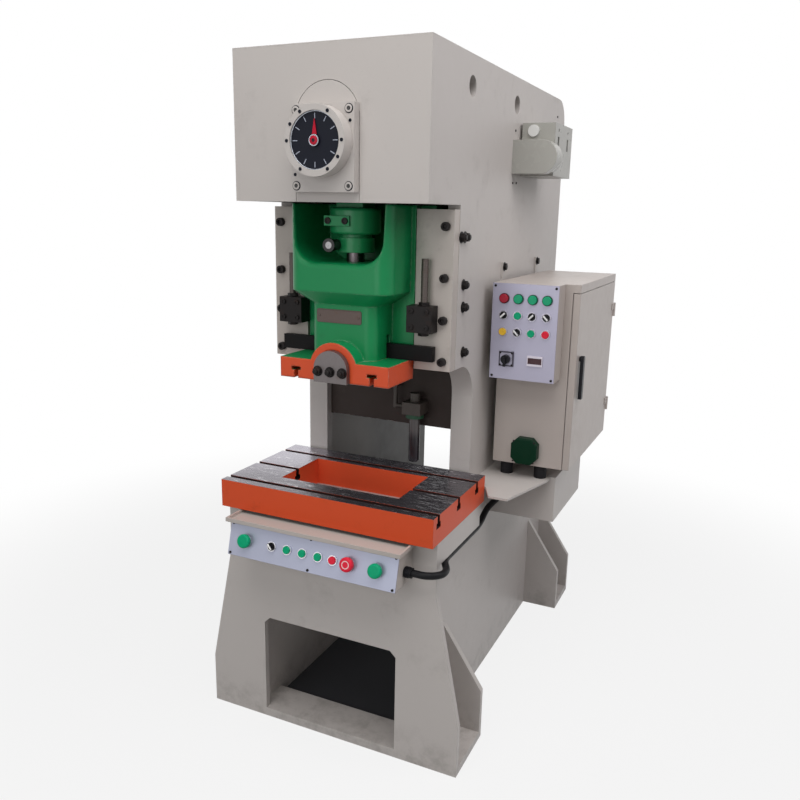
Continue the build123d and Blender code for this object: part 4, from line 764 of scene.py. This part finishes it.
def sink(inset, depth):
    """Inset the selected face and push it along its normal."""
    bpy.ops.mesh.inset(thickness=inset)
    bpy.ops.mesh.extrude_region_move(TRANSFORM_OT_translate={"value": (0, 0, depth)})
    bpy.ops.object.mode_set(mode="OBJECT")


def crown(inset, rise):
    """Inset the selected face and lift it, which leaves a slanted rim."""
    bpy.ops.mesh.inset(thickness=inset)
    bpy.ops.transform.translate(value=(0, 0, rise))
    bpy.ops.object.mode_set(mode="OBJECT")


print("shaping tools ready")

# %% Copying and seating a piece
UPWARD = Matrix.Identity(4)
DOWNWARD = Matrix.Rotation(math.radians(180), 4, "X")
FRONT = Matrix.Rotation(math.radians(90), 4, "X")
RIGHT = Matrix.Rotation(math.radians(90), 4, "Y")
LEFT = Matrix.Rotation(math.radians(-90), 4, "Y")
CONSOLE_FACE = Matrix.Rotation(math.radians(90) - CONSOLE_LEAN, 4, "X")
SIDES = (-1, 1)


def weld(*pieces):
    """Join finished pieces into the first one."""
    clear_table()
    for piece in pieces:
        piece.select_set(True)
    bpy.context.view_layer.objects.active = pieces[0]
    bpy.ops.object.join()
    return pieces[0]


def copies(pattern, spots, turn):
    """Copies of a pattern, each with its own mesh, turned and moved to its spot."""
    made = []
    for spot in spots:
        twin = pattern.copy()
        twin.data = pattern.data.copy()
        bpy.context.scene.collection.objects.link(twin)
        twin.data.transform(Matrix.Translation(spot) @ turn)
        made.append(twin)
    return made


def scrap(*pieces):
    """Remove patterns that have been copied."""
    for piece in pieces:
        bpy.data.objects.remove(piece)


def seat(piece, name, body, finish):
    """Name a finished piece, paint it, smooth it and hang it on its body."""
    clear_table()
    piece.name = name
    piece.data.name = name
    piece.select_set(True)
    bpy.context.view_layer.objects.active = piece
    bpy.ops.object.shade_smooth_by_angle(angle=math.radians(35))
    piece.data.materials.clear()
    piece.data.materials.append(finish.material)
    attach(piece, body)
    print(name, "faces:", len(piece.data.polygons))
    return piece


# %% [markdown]
# ## Screws and bolts
# A cap screw is a round head with a rounded rim and a sunk socket. A lock nut is a hexagon with the end of
# its stud standing out. Each is modelled once, at its real size, and copied to every place it is used.

# %% Patterns of the fasteners
def cap_screw(radius, height):
    """Round head with a sunk round socket."""
    head = cylinder(radius, height)
    pick(top_faces(height))
    bpy.ops.mesh.inset(thickness=radius * 0.42)
    bpy.ops.object.mode_set(mode="OBJECT")
    pick(lambda centre, normal: normal.z > 0.9 and centre.xy.length < radius * 0.1)
    sink(radius * 0.04, -height * 0.55)
    soften(radius * 0.10)
    return head


def hex_head(radius, height):
    """Hexagon head with a turned-off top, on a washer."""
    head = cylinder(radius, height, sides=6)
    pick(top_faces(height))
    crown(radius * 0.12, height * 0.08)
    washer = cylinder(radius * 1.22, height * 0.16)
    soften(radius * 0.05, segments=1)
    return weld(head, washer)


def stud_nut(radius, height, stud_radius, stud_length):
    """Lock nut on a stud with a chamfered end."""
    nut = hex_head(radius, height)
    stud = cylinder(stud_radius, stud_length, sides=20)
    soften(stud_radius * 0.2, segments=1)
    return weld(nut, stud)


def rivet(radius, height):
    """Low domed rivet."""
    head = cylinder(radius, height, sides=16)
    pick(top_faces(height))
    crown(radius * 0.45, height * 0.4)
    soften(radius * 0.15)
    return head


def pan_screw(radius, height):
    """Small pan-head screw with a hollow in its top."""
    head = cylinder(radius, height, sides=16)
    pick(top_faces(height))
    sink(radius * 0.55, -height * 0.5)
    soften(radius * 0.12)
    return head


print("fastener patterns ready")

# %% Frame bolts in their places
GIB_FACE = least("gibs", "Y")
GIB_X = 0.288
GIB_ZS = (1.676, 1.524, 1.397, 1.270)
SIDE_FACE = most("side_plate_right", "X")
ADJUSTERS = ((-0.462, 1.644), (-0.432, 1.644), (-0.431, 1.500), (-0.428, 1.431), (-0.415, 1.288))
BLOCK_FACE = least("stop_blocks", "Y")
BLOCK_XS = (0.202, 0.252)
BLOCK_ZS = (1.376, 1.425)
STOP_X = 0.233
STOP_Y = middle("stop_blocks", "Y")
HANGER_X, HANGER_Z = 0.323, 1.536
HANGER_YS = (-0.0519, 0.3648)

gib_screw = cap_screw(radius=0.013, height=0.016)
block_screw = cap_screw(radius=0.008, height=0.005)
adjuster = stud_nut(radius=0.0145, height=0.013, stud_radius=0.009, stud_length=0.019)
stop_nut = hex_head(radius=0.017, height=0.010)
hanger_nut = hex_head(radius=0.0130, height=0.0085)
bolts = copies(gib_screw, [(side * GIB_X, GIB_FACE, z) for side in SIDES for z in GIB_ZS], FRONT)
bolts += copies(adjuster, [(SIDE_FACE, y, z) for y, z in ADJUSTERS], RIGHT)
bolts += copies(adjuster, [(-SIDE_FACE, y, z) for y, z in ADJUSTERS], LEFT)
block_spots = [(side * x, BLOCK_FACE, z) for side in SIDES for x in BLOCK_XS for z in BLOCK_ZS]
bolts += copies(block_screw, block_spots, FRONT)
bolts += copies(stop_nut, [(side * STOP_X, STOP_Y, least("stop_blocks", "Z")) for side in SIDES], DOWNWARD)
bolts += copies(stop_nut, [(side * STOP_X, STOP_Y, most("stop_blocks", "Z")) for side in SIDES], UPWARD)
bolts += copies(hanger_nut, [(HANGER_X, y, HANGER_Z) for y in HANGER_YS], RIGHT)
frame_bolts = seat(weld(*bolts), "frame_bolt_set", "frame", black_steel)
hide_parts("frame_bolts")
scrap(gib_screw, block_screw, adjuster, stop_nut, hanger_nut)

# %% [markdown]
# ## Bolts round the dial
# Four painted bolts hold the bearing cap, each in a thin dark washer: a dark piece that draws the shade of
# the counterbore as a ring round its head.
# Eight small dark screws hold the dial's bezel, and two dowel pins place the cap.

# %% Cap bolts, bezel screws and pins
CAP_SPOTS = [(side * 0.0845, z) for side in SIDES for z in (1.782, 1.986)]
WASHER_HIGH = 0.0008
BEZEL_FACE = least("dial_bezel", "Y")
BEZEL_RING = 0.087
BEZEL_TURNS = [math.radians(turn) for turn in (30, 90, 120, 150, 210, 270, 300, 330)]
PIN_SPOTS = ((0.0885, 1.955), (-0.0885, 1.813))

cap_bolt = cap_screw(radius=0.0108, height=0.0022)
# A thin dark washer under each cap bolt, as painted shade round its head.
cap_shade_washer = cylinder(radius=0.0132, height=WASHER_HIGH, sides=28)
soften(width=0.0003, segments=1)
bezel_screw = cap_screw(radius=0.0050, height=0.0012)
pin = rivet(radius=0.0048, height=0.0012)
caps = copies(cap_bolt, [(x, CAP_FACE - WASHER_HIGH, z) for x, z in CAP_SPOTS], FRONT)
seat(weld(*caps), "cap_bolt_set", "frame", cap_paint)
bezel_spots = [(BEZEL_RING * math.sin(turn), BEZEL_FACE, DIAL_Z + BEZEL_RING * math.cos(turn))
               for turn in BEZEL_TURNS]
dark_set = copies(bezel_screw, bezel_spots, FRONT)
dark_set += copies(cap_shade_washer, [(x, CAP_FACE, z) for x, z in CAP_SPOTS], FRONT)
dark_set += copies(pin, [(x, CAP_FACE, z) for x, z in PIN_SPOTS], FRONT)
seat(weld(*dark_set), "dial_ring_screws", "frame", dial_dark)
scrap(cap_bolt, cap_shade_washer, bezel_screw, pin)

# %% [markdown]
# ## Stop screws
# Two long screws stand in the stop blocks. Their thread is shown as real ridges: a cylinder is cut into
# rings and every second ring is drawn in a little.

# %% Long stop screws
STOP_TOP = 1.581
STOP_LOW = 1.350
STOP_RADIUS = 0.011
RINGS = 58
THREAD_WAIST = 0.93
RING_STEP = (STOP_TOP - STOP_LOW) / (2 * RINGS)

screw = cylinder(STOP_RADIUS, STOP_TOP - STOP_LOW, sides=16)
pick_edges(lambda step: abs(step.z) > RING_STEP)
bpy.ops.mesh.subdivide(number_cuts=2 * RINGS - 1)
pick_points(lambda place: round(place.z / RING_STEP) % 2 == 1)
bpy.ops.transform.resize(value=(THREAD_WAIST, THREAD_WAIST, 1.0), center_override=(0, 0, 0))
bpy.ops.object.mode_set(mode="OBJECT")
stops = copies(screw, [(side * STOP_X, STOP_Y, STOP_LOW) for side in SIDES], UPWARD)
scrap(screw)
seat(weld(*stops), "stop_screw_pair", "frame", screw_steel)

# %% [markdown]
# ## Screws on the slide, the rod and the plates
# Three hexagon bolts hold the shank clamp, two socket screws close the rod's split barrel, and small
# screws hold the control plates, the rotary switch, the socket box and the covers on the side.

# %% Slide and rod screws
CLAMP_FACE = least("shank_clamp", "Y")
CLAMP_XS, CLAMP_Z = (-0.042, 0.0, 0.042), 1.241
ROD_FACE = least("connecting_rod", "Y")
ROD_XS, ROD_Z = (-0.050, 0.008), 1.6855

clamp_bolt = stud_nut(radius=0.0135, height=0.011, stud_radius=0.008, stud_length=0.021)
clamp_set = copies(clamp_bolt, [(x, CLAMP_FACE, CLAMP_Z) for x in CLAMP_XS], FRONT)
seat(weld(*clamp_set), "shank_clamp_bolts", "slide", black_steel)
rod_screw = cap_screw(radius=0.010, height=0.005)
rod_set = copies(rod_screw, [(x, ROD_FACE, ROD_Z) for x in ROD_XS], FRONT)
seat(weld(*rod_set), "rod_clamp_screws", "slide", black_steel)
scrap(clamp_bolt, rod_screw)

# %% Plate and panel screws
PANEL_SCREW_XS, PANEL_SCREW_ZS = (0.354, 0.557), (1.186, 1.486)
CONSOLE_SCREW_XS, CONSOLE_SCREW_RISES = (-0.286, 0.0, 0.286), (-0.047, 0.047)
ROTARY_FACE, ROTARY_SCREW_OUT = -0.236, 0.020
SIDE_SCREWS = ((0.024, 1.994), (0.019, 1.820), (0.0595, 1.821), (0.573, 2.097))
SOCKET_X, SOCKET_Z = middle("socket_box", "X"), middle("socket_box", "Z")
SOCKET_FACE, SOCKET_SCREW_OUT = least("socket_box", "Y"), 0.036


def four_round(x, y, z, out):
    """The corners of an upright square."""
    return [(x + across * out, y, z + up * out) for across in SIDES for up in SIDES]


def on_console(x, rise, proud):
    """A place on the console's leaning face."""
    return CONSOLE_CENTRE + Vector((x, 0, 0)) + CONSOLE_FACE.to_3x3() @ Vector((0, rise, proud))


small = pan_screw(radius=0.0042, height=0.0022)
tiny = pan_screw(radius=0.0034, height=0.0016)
panel_corners = [(x, PANEL_FACE, z) for x in PANEL_SCREW_XS for z in PANEL_SCREW_ZS]
console_spots = [on_console(x, rise, PLATE_THICK) for x in CONSOLE_SCREW_XS for rise in CONSOLE_SCREW_RISES]
plate_screws = copies(small, panel_corners, FRONT)
plate_screws += copies(small, console_spots, CONSOLE_FACE)
plate_screws += copies(tiny, four_round(ROTARY_X, ROTARY_FACE, SWITCH_LEVEL, ROTARY_SCREW_OUT), FRONT)
plate_screws += copies(small, [(SIDE_FACE, y, z) for y, z in SIDE_SCREWS], RIGHT)
plate_screws += copies(tiny, four_round(SOCKET_X, SOCKET_FACE, SOCKET_Z, SOCKET_SCREW_OUT), FRONT)
seat(weld(*plate_screws), "plate_screws", "frame", black_steel)
scrap(small, tiny)

# %% [markdown]
# ## Dial marks
# The dial carries twelve pale strokes, one for each 30 degrees of the crank's turn. Each stroke is a small
# bar with softened edges, modelled once and turned round the dial.

# %% Twelve strokes
STROKES = 12
STROKE_HIGH = 0.0006
STROKE_RING = 0.064
DIAL_FACE = least("dial_face", "Y")

stroke = brick(width=0.0024, depth=0.0150, height=STROKE_HIGH)
pick(top_faces(STROKE_HIGH))
bpy.ops.mesh.inset(thickness=0.0005)
soften(width=0.0002, segments=1)
marks = []
for count in range(STROKES):
    spin = Matrix.Rotation(-count * 2 * math.pi / STROKES, 4, "Z")
    turned = FRONT @ spin @ Matrix.Translation((0, STROKE_RING, 0))
    marks += copies(stroke, [(0, DIAL_FACE, DIAL_Z)], turned)
scrap(stroke)
seat(weld(*marks), "dial_strokes", "frame", dial_ink)

# %% [markdown]
# ## Dial rim
# A thin plated ring holds the dial in its bezel and draws a bright line round it. A tube without ends is
# given its wall by an applied Solidify.

# %% Plated ring round the dial
RIM_RADIUS, RIM_HIGH, RIM_WALL = 0.0780, 0.0030, 0.0024
RIM_OUT = 0.0008

clear_table()
bpy.ops.mesh.primitive_cylinder_add(vertices=72, radius=RIM_RADIUS, depth=RIM_HIGH, end_fill_type="NOTHING")
rim = bpy.context.object
wall = rim.modifiers.new("wall", "SOLIDIFY")
wall.thickness = RIM_WALL
wall.offset = -1
bpy.ops.object.modifier_apply(modifier=wall.name)
soften(width=0.0007)
dial_rim = copies(rim, [(0, DIAL_FACE - RIM_OUT, DIAL_Z)], FRONT)[0]
seat(dial_rim, "dial_rim", "frame", rim_steel)
scrap(rim)

# %% [markdown]
# ## Needle hub
# The needle's hub ends in a red button with a dark pin in its middle and a bright ring round it. Button
# and ring turn with the crank.

# %% Hub button and ring
HUB_SPOT = (0, NEEDLE_FACE, DIAL_Z)
COLLAR_HIGH = 0.0016

button = cylinder(radius=0.0122, height=0.0030)
soften(width=0.0009)
seat(copies(button, [HUB_SPOT], FRONT)[0], "dial_hub", "crank", needle_red)
collar = cylinder(radius=0.0155, height=COLLAR_HIGH, sides=32)
pick(top_faces(COLLAR_HIGH))
sink(inset=0.0022, depth=-0.0006)
soften(width=0.0003, segments=1)
seat(copies(collar, [HUB_SPOT], FRONT)[0], "dial_hub_ring", "crank", rim_steel)
scrap(button, collar)

# %% [markdown]
# ## Hose gland
# The hose leaves the console through a moulded gland nut. Every second side of a many-sided nut is pressed
# in, which leaves grip ribs.

# %% Gland nut with grip ribs
NUT_SIDES = 28
GLAND_SPOT = (0.297, -0.775, 0.685)


def every_second_side(centre, normal):
    """A test for every second upright side of the nut."""
    count = math.atan2(centre.y, centre.x) * NUT_SIDES / (2 * math.pi)
    return abs(normal.z) < 0.1 and round(count - 0.5) % 2 == 0


nut = cylinder(radius=0.0172, height=0.014, sides=NUT_SIDES)
pick(every_second_side)
bpy.ops.mesh.inset(thickness=0.0006, use_individual=True)
bpy.ops.mesh.extrude_region_shrink_fatten(TRANSFORM_OT_shrink_fatten={"value": -0.0009})
bpy.ops.object.mode_set(mode="OBJECT")
seat(copies(nut, [GLAND_SPOT], RIGHT)[0], "gland_nut", "frame", black_knob)
scrap(nut)

# %% [markdown]
# ## Blank plate on the slide
# A stamped plate sits on the slide's neck. It is kept blank: an oblong with round corners, a raised rim
# and a rivet at each end.

# %% Stamped plate and rivets
PLATE_HIGH = 0.002
PLATE_X, PLATE_Z = -0.009, 1.401
NECK_FACE = -0.632
RIVET_FACE = NECK_FACE - 0.001
RIVET_OUT = 0.068

plate = brick(width=0.156, depth=0.042, height=PLATE_HIGH)
pick_edges(lambda step: abs(step.z) > PLATE_HIGH / 2)
bpy.ops.mesh.bevel(offset=0.007, segments=4)
pick(top_faces(PLATE_HIGH))
sink(inset=0.003, depth=-0.0007)
soften(width=0.0004, segments=1)
head = rivet(radius=0.0035, height=0.002)
plates = copies(plate, [(PLATE_X, NECK_FACE, PLATE_Z)], FRONT)
plates += copies(head, [(PLATE_X + side * RIVET_OUT, RIVET_FACE, PLATE_Z) for side in SIDES], FRONT)
scrap(plate, head)
seat(weld(*plates), "slide_plate", "slide", worn_plate)

# %% [markdown]
# ## White bars on the selectors
# Each selector shows its setting by a white bar along its raised grip. The bars ride on their own knobs,
# so they turn with them.

# %% Selector bars
BAR_HIGH = 0.0012
GRIP_TOP = 0.019
PANEL_SELECTORS = {
    "panel_selector_1": -45, "panel_selector_2": -45, "panel_selector_3": 45, "panel_selector_4": 45,
}
CONSOLE_SELECTOR = "console_selector"
CONSOLE_SETTING = 45


def setting(angle):
    """A turn about a knob's own axis."""
    return Matrix.Rotation(math.radians(angle), 4, "Z")


bar = brick(width=0.0054, depth=0.0214, height=BAR_HIGH)
pick(top_faces(BAR_HIGH))
crown(inset=0.0006, rise=0.0003)
soften(width=0.0003, segments=1)
for name, angle in PANEL_SELECTORS.items():
    spot = (middle(name, "X"), PANEL_BACK - GRIP_TOP, middle(name, "Z"))
    white = copies(bar, [spot], FRONT @ setting(angle))[0]
    seat(white, name + "_bar", name, white_inlay)
grip = on_console(middle(CONSOLE_SELECTOR, "X"), 0, GRIP_TOP)
white = copies(bar, [grip], CONSOLE_FACE @ setting(CONSOLE_SETTING))[0]
seat(white, CONSOLE_SELECTOR + "_bar", CONSOLE_SELECTOR, white_inlay)
scrap(bar)

# %% [markdown]
# ## Camera
# The photograph was taken from about eye height, in front of the press and to its right. The camera's
# place and turn were fitted to the known corners of the machine, so the frame lines up with it.

# %% Camera at the photograph's place
CAMERA_PLACE = (1.1793, -2.7345, 1.7193)
YAW, PITCH, ROLL = (math.radians(angle) for angle in (24.94, -13.47, 1.13))
FOCAL_SHARE = 791.34 / 800
SENSOR = 36

ahead = Vector((-math.sin(YAW) * math.cos(PITCH), math.cos(YAW) * math.cos(PITCH), math.sin(PITCH)))
level = Vector((math.cos(YAW), math.sin(YAW), 0))
above = level.cross(ahead)
across = level * math.cos(ROLL) + above * math.sin(ROLL)
over = above * math.cos(ROLL) - level * math.sin(ROLL)
lens = bpy.data.cameras.new("camera")
lens.sensor_width = SENSOR
lens.lens = SENSOR * FOCAL_SHARE
camera = bpy.data.objects.new("camera", lens)
bpy.context.scene.collection.objects.link(camera)
turn = Matrix((across, over, -ahead)).transposed().to_4x4()
camera.matrix_world = Matrix.Translation(CAMERA_PLACE) @ turn
bpy.context.scene.camera = camera
print("camera at", CAMERA_PLACE, "lens", round(lens.lens, 2), "mm")

# %% [markdown]
# ## Floor, background and light
# A pale floor carries a soft shadow; under the machine's base, where the doorways look in, it is painted
# near-black as shadow. The background is white to the eye only: the light itself comes from three large
# lamps and a dim sky, so that colours come out about as they are written.

# %% Floor
FLOOR_SIZE = 60
FLOOR_LEVEL = -0.0005
SHADE_HALF_WIDE, SHADE_HALF_DEEP = 0.295, 0.70
# Squares of the distances from the machine between which the floor turns white.
FADE_START, FADE_END = 1.5, 9.0


def seen_directly(graph):
    """One for rays from the eye, a mirror or a lens; the lamps' own light is not changed."""
    eye, mirror, glass = (graph.node("ShaderNodeLightPath", {}, {}, ray)
                          for ray in ("Is Camera Ray", "Is Glossy Ray", "Is Transmission Ray"))
    return eye.either(mirror).either(glass)


clear_table()
bpy.ops.mesh.primitive_plane_add(size=FLOOR_SIZE, location=(0, 0, FLOOR_LEVEL))
bpy.ops.object.transform_apply(location=True)
floor = bpy.context.object
floor.name = "floor"
pale = Finish("pale_floor")
x, y = pale.axis("X"), pale.axis("Y")
away = pale.ramp(x * x + y * y, FADE_START, FADE_END)
under = (abs(x) < SHADE_HALF_WIDE) * (abs(y) < SHADE_HALF_DEEP)
# Under the base the floor is painted near-black: painted shadow.
pale.set(Base_Color=pale.mix(under, (0.45, 0.45, 0.45, 1), (0.022, 0.022, 0.026, 1)), Roughness=0.9)
glow = pale.node("ShaderNodeEmission", {}, {})
share = seen_directly(pale) * (1 - under) * (away * 0.16 + 0.84)
lit = Value(pale, pale.shader.outputs[0])
blend = pale.node("ShaderNodeMixShader", {}, {0: share, 1: lit, 2: glow})
pale.fill(pale.tree.nodes["Material Output"], {0: blend})
floor.data.materials.append(pale.material)
print("floor at", FLOOR_LEVEL)

# %% Sky
SKY_LIGHT = 0.18

world = bpy.data.worlds.new("sky")
bpy.context.scene.world = world
world.use_nodes = True
sky = Graph(world.node_tree)
strength = sky.node("ShaderNodeMapRange", {}, {0: seen_directly(sky), 3: SKY_LIGHT, 4: 1.0})
sky.fill(world.node_tree.nodes["Background"], {"Color": (1, 1, 1, 1), "Strength": strength})
print("sky light:", SKY_LIGHT)


# %% Lamps
def lamp(name, place, aim, size, watts, tint):
    """A square soft lamp aimed at a point."""
    data = bpy.data.lights.new(name, "AREA")
    data.size = size
    data.energy = watts
    data.color = tint
    piece = bpy.data.objects.new(name, data)
    bpy.context.scene.collection.objects.link(piece)
    turn = (Vector(aim) - Vector(place)).to_track_quat("-Z", "Y").to_matrix().to_4x4()
    piece.matrix_world = Matrix.Translation(place) @ turn
    print(name, "lamp:", watts, "W")


lamp("ceiling", (0.6, -1.9, 4.7), (0, -0.25, 1.0), size=3.4, watts=115, tint=(1.0, 0.985, 0.97))
lamp("key", (-0.4, -4.5, 2.0), (0, -0.3, 0.7), size=2.6, watts=42, tint=(0.98, 0.985, 1.0))
lamp("side", (3.4, -0.4, 4.0), (0, 0.2, 1.6), size=2.6, watts=64, tint=(0.985, 0.965, 1.0))
bpy.context.scene.view_settings.view_transform = "Standard"
